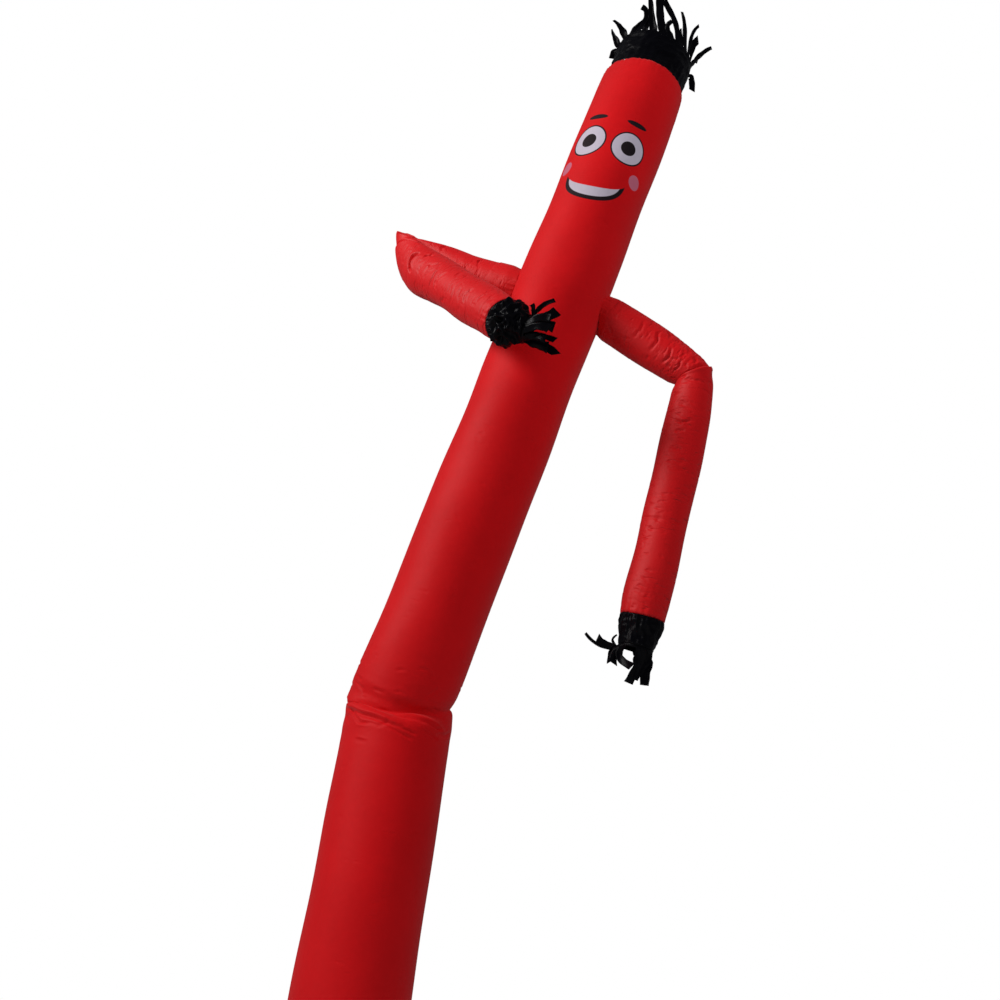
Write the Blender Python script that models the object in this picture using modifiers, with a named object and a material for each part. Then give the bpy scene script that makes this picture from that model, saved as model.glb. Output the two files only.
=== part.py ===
"""Inflatable air dancer: a tall nylon tube with two sleeve arms, standing in the shape the air gives it.

The origin is the middle of the tube's open foot, where a blower's collar holds it. +Z is up along the lower
tube and the printed face looks along -Y. Sizes are metres. An azimuth is an angle in degrees around the tube,
0 on the face's side and 90 towards +X.
"""
import math
from collections import namedtuple

import bmesh
import bpy
from mathutils import Matrix, Vector

# --- driving sizes -------------------------------------------------------------------------------------
CLOTH = 0.002            # thickness of the cloth, with its coating and seams
GAP = 0.0003             # clearance between two pieces that are sewn to each other
FOOT_RADIUS = 0.2286     # half of the 18 inch mouth
TORSO_RADIUS = 0.2235    # the tube above the waist, drawn in a little by the lower pressure
ARM_RADIUS = 0.105
WAIST_HEIGHT = 2.09      # where the axes of the lower and the upper tube meet
HEAD_LENGTH = 3.348      # from the waist to the seam under the hair, along the upper tube
BAND_LENGTH = 0.19       # height of the black band that carries the hair
BACKING = 0.012          # height of the strip at the cloth's edge that a fringe hangs from
LEAN = Vector((0.2191, -0.1816, 0.9586)).normalized()    # direction of the upper tube
BODY_SIDES = 40
ARM_SIDES = 20
UP = Vector((0, 0, 1))

# The tube's cross-rings below the waist: height of each, and how far it already follows the crease.
LowerRing = namedtuple("LowerRing", "height follows")
LOWER_RINGS = (
    LowerRing(0.00, 0.0), LowerRing(0.60, 0.0), LowerRing(1.20, 0.0), LowerRing(1.60, 0.0),
    LowerRing(1.80, 0.3), LowerRing(1.90, 0.7), LowerRing(1.96, 0.95), LowerRing(2.0, 1.0),
)
# Above the waist: distance along the upper tube, how far it still follows the crease, and the radius.
UpperRing = namedtuple("UpperRing", "along follows radius")
UPPER_RINGS = (
    UpperRing(-0.09, 1.0, 0.216), UpperRing(-0.06, 1.0, 0.221), UpperRing(0.0, 0.85, 0.2235),
    UpperRing(0.08, 0.55, 0.2235), UpperRing(0.20, 0.2, 0.2235), UpperRing(0.40, 0.0, 0.2235),
    UpperRing(0.90, 0.0, 0.2235), UpperRing(1.40, 0.0, 0.2235), UpperRing(1.75, 0.0, 0.2235),
    UpperRing(2.02, 0.0, 0.2235), UpperRing(2.30, 0.0, 0.2235), UpperRing(2.80, 0.0, 0.2235),
    UpperRing(3.10, 0.0, 0.2235), UpperRing(3.24, 0.0, 0.2215), UpperRing(3.31, 0.0, 0.2180),
    UpperRing(HEAD_LENGTH, 0.0, 0.2145),
)
# The crease at the waist: its height around the tube. It sags at the front, where the cloth is pressed.
CreasePoint = namedtuple("CreasePoint", "azimuth height")
WAIST_CREASE = (
    CreasePoint(-130, 2.095), CreasePoint(-100, 2.045), CreasePoint(-83, 2.017), CreasePoint(-60, 1.975),
    CreasePoint(-40, 1.945), CreasePoint(-19, 1.926), CreasePoint(0, 1.912), CreasePoint(14, 1.925),
    CreasePoint(28, 1.944), CreasePoint(57, 1.975), CreasePoint(70, 2.015), CreasePoint(85, 2.045),
    CreasePoint(110, 2.075), CreasePoint(150, 2.115), CreasePoint(190, 2.125), CreasePoint(230, 2.095),
)
CREASE_REST = 2.0        # the crease's middle height, which the ring tables are written for
LIP_ROLL = 0.008         # how far the lower tube's lip rolls inwards at the crease

# --- arms ----------------------------------------------------------------------------------------------
# Limb joints, and the fold at the elbow: the direction and half width of its long way, its half thickness,
# how far the middle moves towards the inside of the bend, how far along each limb it fades out, and whether
# the bend is so tight that the two limbs lie on each other.
Arm = namedtuple("Arm", "shoulder elbow wrist fold half_width half_thickness inset reach lies_flat")
FOLDED = Arm(
    shoulder=Vector((0.235, -0.330, 4.100)),
    elbow=Vector((-0.361, -0.158, 4.328)),
    wrist=Vector((0.207, -0.700, 3.612)),
    fold=Vector((-0.386, -0.648, 0.656)),
    half_width=0.160, half_thickness=0.020, inset=0.0, reach=0.42, lies_flat=True,
)
HANGING = Arm(
    shoulder=Vector((0.658, -0.359, 3.990)),
    elbow=Vector((1.139, -0.381, 3.701)),
    wrist=Vector((0.994, -0.103, 2.554)),
    fold=Vector((-0.180, -0.968, -0.174)),
    half_width=0.112, half_thickness=0.0955, inset=0.020, reach=0.28, lies_flat=False,
)
ROOT_OVERRUN = 0.16      # how far a sleeve is first drawn into the tube, before it is trimmed to it
ROOT_PINCH = 0.010       # the sleeve is sewn into a hole this much smaller than itself
ROOT_LAP = 0.0015        # how far the tube's cloth reaches past the sleeve's inner face at that hole
HOLE_RADIUS = ARM_RADIUS - ROOT_PINCH - CLOTH - ROOT_LAP
WRIST_PINCH = 0.004      # gathering at the seam of the cuff
# Rings near a sleeve's two ends: distance from the seam, and the share of the pinch that is left there.
EndRing = namedtuple("EndRing", "distance pinch")
ROOT_RINGS = (EndRing(-ROOT_OVERRUN, 1.0), EndRing(0.0, 1.0), EndRing(0.025, 0.7), EndRing(0.06, 0.0))
WRIST_RINGS = (EndRing(0.08, 0.0), EndRing(0.02, 0.4), EndRing(0.0, 1.0))
ELBOW_STEPS = (1.0, 0.6, 0.36, 0.2, 0.09)     # rings near an elbow, as shares of the fold's reach
ELBOW_TURN = 0.12        # how far from the elbow the rings start turning into the fold's plane
LIMB_CLEARANCE = 0.004   # room left between the two limbs where they lie together

RED = ("nylon", (0.50, 0.008, 0.012), 0.42)
BLACK = ("nylon", (0.006, 0.006, 0.009), 0.50)

# --- fringes: one row for each strip -------------------------------------------------------------------
# azimuth of its root on the ring, then the middle and the tip as (rise, reach, drift): metres along the
# ring's axis, outwards from it and sideways towards a rising azimuth; then the widths at root and tip, and
# the degrees through which the strip has twisted at its tip.
Strip = namedtuple("Strip", "azimuth middle tip root_width tip_width twist")
HAIR = (
    Strip(-105, (0.02, 0.03, 0.00), (-0.02, 0.035, -0.01), 0.040, 0.024, 60),
    Strip(-86, (0.04, 0.04, 0.00), (0.08, 0.07, 0.00), 0.050, 0.006, 75),
    Strip(-64, (0.03, 0.04, 0.00), (0.05, 0.09, -0.01), 0.044, 0.010, 60),
    Strip(-49, (0.05, -0.01, 0.02), (0.12, -0.03, 0.04), 0.034, 0.012, 40),
    Strip(-37, (0.09, 0.00, 0.02), (0.12, 0.04, 0.00), 0.030, 0.026, 30),
    Strip(-26, (0.04, 0.01, 0.01), (0.09, 0.02, 0.01), 0.034, 0.012, 0),
    Strip(-12, (0.06, 0.03, -0.03), (0.16, 0.06, -0.07), 0.040, 0.018, 0),
    Strip(4, (0.07, 0.02, -0.05), (0.19, 0.04, -0.09), 0.044, 0.040, 0),
    Strip(16, (0.03, 0.01, -0.04), (0.06, 0.03, -0.03), 0.034, 0.022, 0),
    Strip(28, (0.09, 0.00, -0.06), (0.16, -0.01, -0.15), 0.032, 0.030, 20),
    Strip(37, (0.04, 0.00, -0.03), (0.06, 0.01, -0.05), 0.022, 0.008, 0),
    Strip(46, (0.11, -0.02, -0.04), (0.18, -0.03, -0.09), 0.034, 0.012, 45),
    Strip(56, (0.10, 0.00, -0.03), (0.16, 0.02, -0.03), 0.026, 0.015, 60),
    Strip(67, (0.07, -0.01, -0.01), (0.12, 0.01, -0.02), 0.034, 0.036, 75),
    Strip(79, (0.09, 0.03, 0.00), (0.14, 0.07, 0.00), 0.030, 0.018, 70),
    Strip(89, (0.06, 0.00, 0.00), (0.07, 0.02, 0.00), 0.026, 0.016, 70),
    Strip(107, (0.02, 0.025, 0.00), (-0.05, 0.055, 0.00), 0.044, 0.030, 80),
    Strip(124, (0.07, 0.02, 0.01), (0.12, 0.07, 0.02), 0.038, 0.014, 20),
    Strip(138, (0.08, 0.00, -0.01), (0.17, 0.02, 0.02), 0.040, 0.010, -30),
    Strip(153, (0.06, 0.02, 0.01), (0.10, 0.06, 0.03), 0.034, 0.020, 20),
    Strip(167, (0.09, 0.01, 0.00), (0.19, 0.03, -0.03), 0.042, 0.012, 0),
    Strip(182, (0.07, 0.02, 0.00), (0.13, 0.05, 0.02), 0.038, 0.024, 30),
    Strip(196, (0.08, -0.01, 0.01), (0.18, 0.00, 0.03), 0.032, 0.016, -40),
    Strip(209, (0.05, 0.03, 0.00), (0.09, 0.08, -0.01), 0.036, 0.010, 20),
    Strip(223, (0.08, 0.01, -0.01), (0.15, 0.04, 0.00), 0.038, 0.018, 40),
    Strip(238, (0.06, 0.02, 0.00), (0.12, 0.06, 0.01), 0.034, 0.014, -30),
)
FOLDED_FINGERS = (
    Strip(-150, (0.05, -0.02, -0.02), (0.10, -0.02, -0.02), 0.028, 0.030, 10),
    Strip(-105, (0.04, -0.01, 0.01), (0.10, -0.01, 0.01), 0.030, 0.040, 75),
    Strip(-70, (0.07, 0.01, 0.01), (0.13, 0.03, 0.00), 0.030, 0.028, 80),
    Strip(-35, (0.04, 0.01, 0.01), (0.10, 0.02, 0.01), 0.026, 0.022, 30),
    Strip(10, (0.04, 0.01, 0.01), (0.08, 0.02, 0.00), 0.030, 0.036, 0),
    Strip(42, (0.04, 0.02, 0.00), (0.08, 0.06, 0.01), 0.030, 0.036, 45),
    Strip(72, (0.02, 0.05, -0.01), (0.07, 0.09, -0.01), 0.020, 0.014, 70),
    Strip(100, (0.00, 0.03, -0.02), (-0.01, 0.05, -0.02), 0.018, 0.018, 75),
    Strip(135, (0.05, 0.02, -0.03), (0.10, 0.03, -0.04), 0.028, 0.030, 20),
    Strip(168, (0.05, 0.00, -0.03), (0.11, 0.00, -0.04), 0.028, 0.034, 0),
)
HANGING_FINGERS = (
    Strip(-95, (0.01, 0.00, -0.01), (0.02, 0.00, -0.02), 0.030, 0.020, 10),
    Strip(-67, (0.03, 0.00, 0.00), (0.07, -0.01, -0.01), 0.034, 0.024, -20),
    Strip(-40, (0.03, 0.00, 0.00), (0.09, -0.01, -0.01), 0.040, 0.026, -50),
    Strip(-8, (0.06, 0.00, 0.00), (0.14, 0.00, 0.00), 0.060, 0.026, 75),
    Strip(28, (0.06, -0.02, 0.01), (0.13, -0.03, 0.02), 0.040, 0.010, 50),
    Strip(58, (0.07, -0.01, 0.01), (0.15, -0.02, 0.04), 0.034, 0.030, 20),
    Strip(84, (0.05, 0.00, 0.01), (0.09, 0.00, 0.02), 0.030, 0.014, 0),
    Strip(128, (0.05, -0.01, -0.01), (0.11, 0.00, -0.02), 0.026, 0.014, -30),
    Strip(150, (0.05, 0.02, 0.01), (0.10, 0.03, 0.01), 0.024, 0.012, -50),
    Strip(175, (0.05, 0.00, 0.00), (0.09, -0.02, 0.00), 0.060, 0.044, -80),
    Strip(191, (-0.02, 0.03, 0.00), (-0.05, 0.02, 0.01), 0.014, 0.006, 60),
    Strip(203, (0.00, 0.06, -0.02), (-0.02, 0.10, -0.03), 0.022, 0.024, 70),
    Strip(218, (0.01, 0.08, -0.05), (-0.03, 0.15, -0.09), 0.014, 0.010, 70),
)
STRIP_STEPS = 5
LONGEST_GAP = 20         # degrees of a backing ring between two of its corners

# --- cuffs and hair band: rings along a middle line that bends from start through bend to end ------------
CuffRing = namedtuple("CuffRing", "share half_width half_thickness")
Cuff = namedtuple("Cuff", "start bend end side rings")


def cuff_of(arm, bend_reach, end, rings):
    """A cuff that goes on from a sleeve's wrist and ends at a point of its own."""
    along = (arm.wrist - arm.elbow).normalized()
    start = arm.wrist + along * GAP
    bend = start + along * bend_reach
    return Cuff(start, bend, end or bend + along * bend_reach, arm.fold, rings)


FOLDED_CUFF = cuff_of(FOLDED, 0.05, Vector((0.307, -0.742, 3.552)), (
    CuffRing(0.0, 0.101, 0.101), CuffRing(0.2, 0.104, 0.104), CuffRing(0.45, 0.101, 0.101),
    CuffRing(0.7, 0.087, 0.087), CuffRing(0.87, 0.070, 0.070), CuffRing(1.0, 0.062, 0.062),
))
HANGING_CUFF = cuff_of(HANGING, 0.066, None, (
    CuffRing(0.0, 0.101, 0.101), CuffRing(0.25, 0.099, 0.099), CuffRing(0.6, 0.093, 0.090),
    CuffRing(1.0, 0.089, 0.080),
))
HEAD_TOP = UP * WAIST_HEIGHT + LEAN * HEAD_LENGTH
HAIR_BAND = Cuff(
    HEAD_TOP + LEAN * GAP, HEAD_TOP + LEAN * BAND_LENGTH / 2, HEAD_TOP + LEAN * BAND_LENGTH, Vector((1, 0, 0)), (
        CuffRing(0.0, 0.2125, 0.2125), CuffRing(0.08, 0.203, 0.203), CuffRing(0.25, 0.198, 0.198),
        CuffRing(0.6, 0.203, 0.203), CuffRing(1.0, 0.201, 0.201),
    ))


def lerp(a, b, t):
    return a + (b - a) * t


def outward(azimuth, side, front):
    angle = math.radians(azimuth)
    return side * math.sin(angle) + front * math.cos(angle)


def crease_height(azimuth):
    """Height of the waist's crease at an azimuth, between the rows of its table."""
    if azimuth < WAIST_CREASE[0].azimuth:
        azimuth += 360
    if azimuth > WAIST_CREASE[-1].azimuth:
        azimuth -= 360
    for low, high in zip(WAIST_CREASE, WAIST_CREASE[1:]):
        if low.azimuth <= azimuth <= high.azimuth:
            t = (azimuth - low.azimuth) / (high.azimuth - low.azimuth)
            return lerp(low.height, high.height, t)
    return CREASE_REST


def upper_frame():
    """Side and front directions of the upper tube, turned with it from +X and -Y."""
    turn = UP.rotation_difference(LEAN)
    return turn @ Vector((1, 0, 0)), turn @ Vector((0, -1, 0))


def azimuths(sides):
    return [360.0 * i / sides - 180.0 for i in range(sides)]


def torso_rings(swell=0.0):
    """The tube's outer surface as rings, from the foot to the seam under the hair."""
    rings = []
    for row in LOWER_RINGS:
        ring = []
        for azimuth in azimuths(BODY_SIDES):
            height = row.height + (crease_height(azimuth) - CREASE_REST) * row.follows
            roll = LIP_ROLL if row.follows == 1.0 else 0.0
            out = outward(azimuth, Vector((1, 0, 0)), Vector((0, -1, 0)))
            ring.append(UP * height + out * (FOOT_RADIUS - roll + swell))
        rings.append(ring)
    side, front = upper_frame()
    for row in UPPER_RINGS:
        ring = []
        for azimuth in azimuths(BODY_SIDES):
            out = outward(azimuth, side, front)
            shift = crease_height(azimuth) - WAIST_HEIGHT - out.z * TORSO_RADIUS
            along = row.along + (shift / LEAN.z - UPPER_RINGS[0].along) * row.follows
            ring.append(UP * WAIST_HEIGHT + LEAN * along + out * (row.radius + swell))
        rings.append(ring)
    return rings


def loft(name, rings, collection, thickness=0.0):
    """A skin over rings of points, closed with a flat end at both ends when it has no thickness."""
    shape = bmesh.new()
    loops = [[shape.verts.new(point) for point in ring] for ring in rings]
    for low, high in zip(loops, loops[1:]):
        for i in range(len(low)):
            j = (i + 1) % len(low)
            shape.faces.new((low[i], low[j], high[j], high[i]))
    if not thickness:
        shape.faces.new(list(reversed(loops[0])))
        shape.faces.new(loops[-1])
    mesh = bpy.data.meshes.new(name)
    shape.to_mesh(mesh)
    shape.free()
    piece = bpy.data.objects.new(name, mesh)
    collection.objects.link(piece)
    mesh.shade_smooth()
    if thickness:
        wall = piece.modifiers.new("cloth", "SOLIDIFY")
        wall.thickness = thickness
        wall.offset = -1
    return piece


def ellipse(centre, wide, thick, half_width, half_thickness):
    points = []
    for i in range(ARM_SIDES):
        angle = math.tau * i / ARM_SIDES
        points.append(centre + wide * math.cos(angle) * half_width + thick * math.sin(angle) * half_thickness)
    return points


def limb_ring(arm, toward, other, distance, travel, radius=ARM_RADIUS):
    """One ring of a sleeve at a distance from the elbow along a limb. toward and other point from the elbow
    along this limb and the other one, and travel is 1 when the rings run away from the elbow, else -1."""
    inward = (other - toward * other.dot(toward)).normalized()
    bisector = (toward + other).normalized()
    flat = 1 - math.sin(math.pi / 2 * min(distance / arm.reach, 1.0))
    half_width = lerp(radius, arm.half_width, flat)
    half_thickness = lerp(radius, arm.half_thickness, flat)
    normal = (inward.cross(toward) * travel).normalized()
    fold = arm.fold if arm.fold.dot(normal) > 0 else -arm.fold
    wide = normal.lerp(fold, flat).normalized()
    thick = inward.lerp(bisector, max(0.0, 1 - distance / ELBOW_TURN))
    thick = (thick - wide * thick.dot(wide)).normalized()
    inset = arm.inset * flat
    if arm.lies_flat and distance > 0:
        room = math.tan(toward.angle(other) / 2) * distance - LIMB_CLEARANCE
        inset = min(inset, room - half_thickness)
    centre = arm.elbow + toward * distance + (bisector if distance == 0 else inward) * inset
    return ellipse(centre, wide, thick, half_width, half_thickness)


def sleeve_rings(arm):
    """A sleeve's outer surface as rings, from inside the tube to the wrist."""
    upper = arm.shoulder - arm.elbow
    fore = arm.wrist - arm.elbow
    up, down = upper.normalized(), fore.normalized()
    rings = []
    for row in ROOT_RINGS:
        distance = upper.length - row.distance
        rings.append(limb_ring(arm, up, down, distance, -1, ARM_RADIUS - ROOT_PINCH * row.pinch))
    for share in ELBOW_STEPS:
        rings.append(limb_ring(arm, up, down, share * arm.reach, -1))
    rings.append(limb_ring(arm, down, up, 0.0, 1))
    for share in reversed(ELBOW_STEPS):
        rings.append(limb_ring(arm, down, up, share * arm.reach, 1))
    rings.append(limb_ring(arm, down, up, (arm.reach + fore.length) / 2, 1))
    for row in WRIST_RINGS:
        distance = fore.length - row.distance
        rings.append(limb_ring(arm, down, up, distance, 1, ARM_RADIUS - WRIST_PINCH * row.pinch))
    return rings


def trim(piece, cutter, name):
    cut = piece.modifiers.new(name, "BOOLEAN")
    cut.operation = "DIFFERENCE"
    cut.object = cutter
    cutter.hide_render = True
    cutter.display_type = "WIRE"


def arm_hole_cutter(name, arm, collection):
    """A round plug across the tube's wall where a sleeve is sewn on."""
    along = (arm.elbow - arm.shoulder).normalized()
    bpy.ops.mesh.primitive_cylinder_add(vertices=ARM_SIDES, radius=HOLE_RADIUS, depth=2 * ROOT_OVERRUN)
    plug = bpy.context.object
    plug.name = name
    plug.matrix_world = Matrix.Translation(arm.shoulder) @ UP.rotation_difference(along).to_matrix().to_4x4()
    for holder in list(plug.users_collection):
        holder.objects.unlink(plug)
    collection.objects.link(plug)
    return plug


def cuff_rings(cuff):
    """A cuff's outer surface along a curved middle line, with the frame of each ring's plane."""
    rings, frames = [], []
    side = cuff.side
    for row in cuff.rings:
        a, b, c = cuff.start, cuff.bend, cuff.end
        centre = a.lerp(b, row.share).lerp(b.lerp(c, row.share), row.share)
        axis = (b - a).lerp(c - b, row.share).normalized()
        side = (side - axis * side.dot(axis)).normalized()
        front = axis.cross(side)
        rings.append(ellipse(centre, side, front, row.half_width, row.half_thickness))
        frames.append((centre, side, front, axis))
    return rings, frames


def strip_path(strip, share):
    """A strip's middle line and its direction, as (rise, reach, drift), on a curve through its three points."""
    middle, tip = Vector(strip.middle), Vector(strip.tip)
    control = 2 * middle - tip / 2
    return 2 * share * (1 - share) * control + share * share * tip, control.lerp(tip - control, share)


def fringe(name, frame, half_width, half_thickness, strips, collection):
    """A narrow ring of cloth with strips that grow out of its edge."""
    centre, side, front, axis = frame

    def on_ring(azimuth, inset, height):
        angle = math.radians(azimuth)
        out = side * math.sin(angle) * (half_width - inset) - front * math.cos(angle) * (half_thickness - inset)
        return centre + axis * height + out

    size = (half_width + half_thickness) / 2
    spans = []
    for strip in sorted(strips, key=lambda row: row.azimuth):
        half = math.degrees(strip.root_width / 2 / size)
        spans.append((strip.azimuth - half, strip.azimuth + half, strip))
    edges, roots = [], {}
    for i, (start, end, strip) in enumerate(spans):
        roots[len(edges)] = strip
        edges.append(start)
        edges.append(end)
        following = spans[i + 1][0] if i + 1 < len(spans) else spans[0][0] + 360
        parts = max(1, math.ceil((following - end) / LONGEST_GAP))
        edges.extend(end + (following - end) * k / parts for k in range(1, parts))
    shape = bmesh.new()
    corners = []
    for azimuth in edges:
        places = ((0.0, 0.0), (0.0, BACKING), (CLOTH, BACKING), (CLOTH, 0.0))
        corners.append([shape.verts.new(on_ring(azimuth, inset, height)) for inset, height in places])
    tops = []
    for i, here in enumerate(corners):
        there = corners[(i + 1) % len(corners)]
        for k in range(4):
            face = shape.faces.new((here[k], there[k], there[(k + 1) % 4], here[(k + 1) % 4]))
            if k == 1:
                tops.append(face)
    for i, strip in roots.items():
        out = (on_ring(strip.azimuth, 0.0, 0.0) - centre).normalized()
        drift = axis.cross(out)
        root = on_ring(strip.azimuth, CLOTH / 2, BACKING)
        across, face = drift, tops[i]
        turn = math.radians(strip.twist) / STRIP_STEPS
        for step in range(1, STRIP_STEPS + 1):
            share = step / STRIP_STEPS
            place, direction = strip_path(strip, share)
            travel = (axis * direction[0] + out * direction[1] + drift * direction[2]).normalized()
            across = (across - travel * across.dot(travel)).normalized()
            across = (Matrix.Rotation(turn, 3, travel) @ across).normalized()
            normal = across.cross(travel)
            middle = root + axis * place[0] + out * place[1] + drift * place[2]
            half = across * lerp(strip.root_width, strip.tip_width, share) / 2
            skin = normal * CLOTH / 2
            face = bmesh.ops.extrude_discrete_faces(shape, faces=[face])["faces"][0]
            corner_places = (middle - half + skin, middle + half + skin, middle + half - skin, middle - half - skin)
            for vert, place_now in zip(face.verts, corner_places):
                vert.co = place_now
    bmesh.ops.recalc_face_normals(shape, faces=shape.faces)
    mesh = bpy.data.meshes.new(name)
    shape.to_mesh(mesh)
    shape.free()
    piece = bpy.data.objects.new(name, mesh)
    collection.objects.link(piece)
    return piece


def cloth_material(name, colour, roughness):
    material = bpy.data.materials.new(name)
    material.use_nodes = True
    shader = material.node_tree.nodes["Principled BSDF"]
    shader.inputs["Base Color"].default_value = (*colour, 1.0)
    shader.inputs["Roughness"].default_value = roughness
    shader.inputs["Metallic"].default_value = 0.0
    return material


def build():
    for old in list(bpy.data.objects):
        bpy.data.objects.remove(old, do_unlink=True)
    dancer = bpy.data.collections.new("inflatable_air_dancer")
    cutters = bpy.data.collections.new("cutters")
    for collection in (dancer, cutters):
        bpy.context.scene.collection.children.link(collection)

    tube = loft("body_tube", torso_rings(), dancer, CLOTH)
    inside = loft("inside_of_tube", torso_rings(GAP), cutters)
    pieces = [(tube, RED)]
    for name, arm in (("folded", FOLDED), ("hanging", HANGING)):
        sleeve = loft(f"sleeve_{name}", sleeve_rings(arm), dancer, CLOTH)
        trim(sleeve, inside, "root")
        trim(tube, arm_hole_cutter(f"hole_{name}", arm, cutters), f"hole_{name}")
        pieces.append((sleeve, RED))
    for name, cuff, strips in (
        ("folded", FOLDED_CUFF, FOLDED_FINGERS), ("hanging", HANGING_CUFF, HANGING_FINGERS),
        ("hair", HAIR_BAND, HAIR),
    ):
        rings, frames = cuff_rings(cuff)
        band = loft(f"cuff_{name}" if name != "hair" else "hair_band", rings, dancer, CLOTH)
        centre, side, front, axis = frames[-1]
        last = cuff.rings[-1]
        edge = (centre + axis * GAP, side, front, axis)
        ends = fringe(f"fringe_{name}", edge, last.half_width, last.half_thickness, strips, dancer)
        pieces += [(band, BLACK), (ends, BLACK)]
    for piece, (kind, colour, roughness) in pieces:
        piece.data.materials.append(cloth_material(f"{piece.name}_{kind}", colour, roughness))


build()
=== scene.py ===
"""Sews the visible cloth of an inflatable air dancer around its solids, and sets up the stage.

Everything is in metres, in the frame of the solids: the origin is the middle of the tube's open foot, +Z is up
along the lower tube and the printed face looks along -Y. An azimuth is an angle in degrees around the tube, 0
on the face's side and 90 towards +X. Every piece of cloth has a UV map named "cloth" that holds its flat cut in
metres: u around the piece, v along it.
"""

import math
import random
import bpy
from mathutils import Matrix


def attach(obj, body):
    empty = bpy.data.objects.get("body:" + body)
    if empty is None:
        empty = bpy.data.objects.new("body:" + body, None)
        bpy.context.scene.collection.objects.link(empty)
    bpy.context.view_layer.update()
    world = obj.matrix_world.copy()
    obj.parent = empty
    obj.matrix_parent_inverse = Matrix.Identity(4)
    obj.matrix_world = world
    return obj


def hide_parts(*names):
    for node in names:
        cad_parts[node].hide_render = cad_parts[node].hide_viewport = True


bl_info = {
    "name": "Inflatable air dancer",
    "version": (1, 0, 0),
    "blender": (4, 5, 0),
    "location": "3D View > Sidebar > Air dancer",
    "description": "Sews the tube, sleeves, cuffs, hair and fringes of an inflatable air dancer",
    "category": "Object",
}

from collections import namedtuple

import bmesh
import bpy
import numpy as np
from mathutils import Matrix, Vector

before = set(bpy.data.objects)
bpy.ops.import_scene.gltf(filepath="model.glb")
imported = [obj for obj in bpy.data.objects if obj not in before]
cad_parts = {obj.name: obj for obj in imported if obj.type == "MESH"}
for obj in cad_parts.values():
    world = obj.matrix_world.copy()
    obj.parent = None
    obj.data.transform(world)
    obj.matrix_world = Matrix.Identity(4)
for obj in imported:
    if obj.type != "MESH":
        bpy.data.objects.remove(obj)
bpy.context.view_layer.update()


def table(kind, *rows):
    """Rows of plain values as named ones."""
    return tuple(kind(*row) for row in rows)


# --- the shape that the air gives the cloth ---
UP = Vector((0, 0, 1))
LEAN = Vector((0.2191, -0.1816, 0.9586)).normalized()    # direction of the upper tube
FOOT_RADIUS = 0.2286
WAIST_HEIGHT = 2.09      # where the axes of the lower and the upper tube meet
HEAD_LENGTH = 3.348      # from the waist to the seam under the hair
BAND_LENGTH = 0.19       # height of the hair band
CREASE_REST = 2.0        # the crease's middle height, which the lower rows are written for
CREASE_START = -0.09     # the same place, measured along the upper tube
SEAM_GAP = 0.0003        # between two pieces that are sewn together
EDGE_MARGIN = 0.004      # from a cut edge to its stitches
RED_MARGIN = 0.008       # from the upper end of a red piece to its stitches
BLACK_MARGIN = 0.006     # from both ends of a black one
BODY_COLUMNS = 160
ARM_COLUMNS = 120
CUFF_COLUMNS = 160

# Where the rows of points lie, as (start, end, gap): below the waist by height, above it by distance.
LOWER_SPANS = (
    (0.0, 0.04, 0.01), (0.04, 0.05, 0.002), (0.05, 1.7, 0.042), (1.7, 1.84, 0.012), (1.84, 1.93, 0.0045),
    (1.93, 2.0, 0.0036),
)
UPPER_SPANS = (
    (-0.09, -0.07, 0.0028), (-0.07, 0.12, 0.0055), (0.12, 0.35, 0.011), (0.35, 1.55, 0.036),
    (1.55, 2.35, 0.0135), (2.35, 3.2, 0.032), (3.2, 3.348, 0.009),
)
# How far the rows near the waist follow the crease, as (place, share).
LOWER_FOLLOW = ((1.6, 0.0), (1.8, 0.3), (1.9, 0.7), (1.96, 0.95), (2.0, 1.0))
UPPER_FOLLOW = ((-0.06, 1.0), (0.0, 0.85), (0.08, 0.55), (0.2, 0.2), (0.4, 0.0))
# The upper tube's radius as a share of its plain one, by distance from the waist. Near the waist more of it is
# lost in front, around an azimuth and over a width in degrees.
UPPER_RADIUS = (
    (-0.09, 0.945), (-0.06, 0.972), (-0.02, 0.991), (0.04, 1.0), (3.1, 1.0), (3.24, 0.991), (3.31, 0.975),
    (3.348, 0.96),
)
FRONT_LOSS, FRONT_AZIMUTH, FRONT_WIDTH = 1.7, 5, 48
# Height of the waist's crease, by azimuth.
WAIST_CREASE = (
    (-130, 2.095), (-100, 2.045), (-83, 2.02), (-60, 2.0), (-40, 1.986), (-19, 1.96), (0, 1.945),
    (14, 1.952), (28, 1.964), (57, 1.99), (70, 2.015), (85, 2.045), (110, 2.075), (150, 2.115),
    (190, 2.125), (230, 2.095),
)
# How far the crease is rounded off, by azimuth: it is a sharp fold only on the tube's left and behind.
CREASE_SOFTNESS = (
    (-180, 0.0), (-95, 0.05), (-70, 0.15), (-40, 0.35), (-15, 0.6), (5, 1.0), (60, 1.0), (76, 0.6),
    (95, 0.1), (180, 0.0),
)
CREASE_PASSES = 34       # rounds of smoothing
CREASE_ROWS = 11         # and how many rows they reach
CREASE_REACH = 0.1       # how far from the crease the cloth is unsettled
MEAN_RADIUS = 0.16       # between the tube's and the sleeves', for the length of small folds
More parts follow.
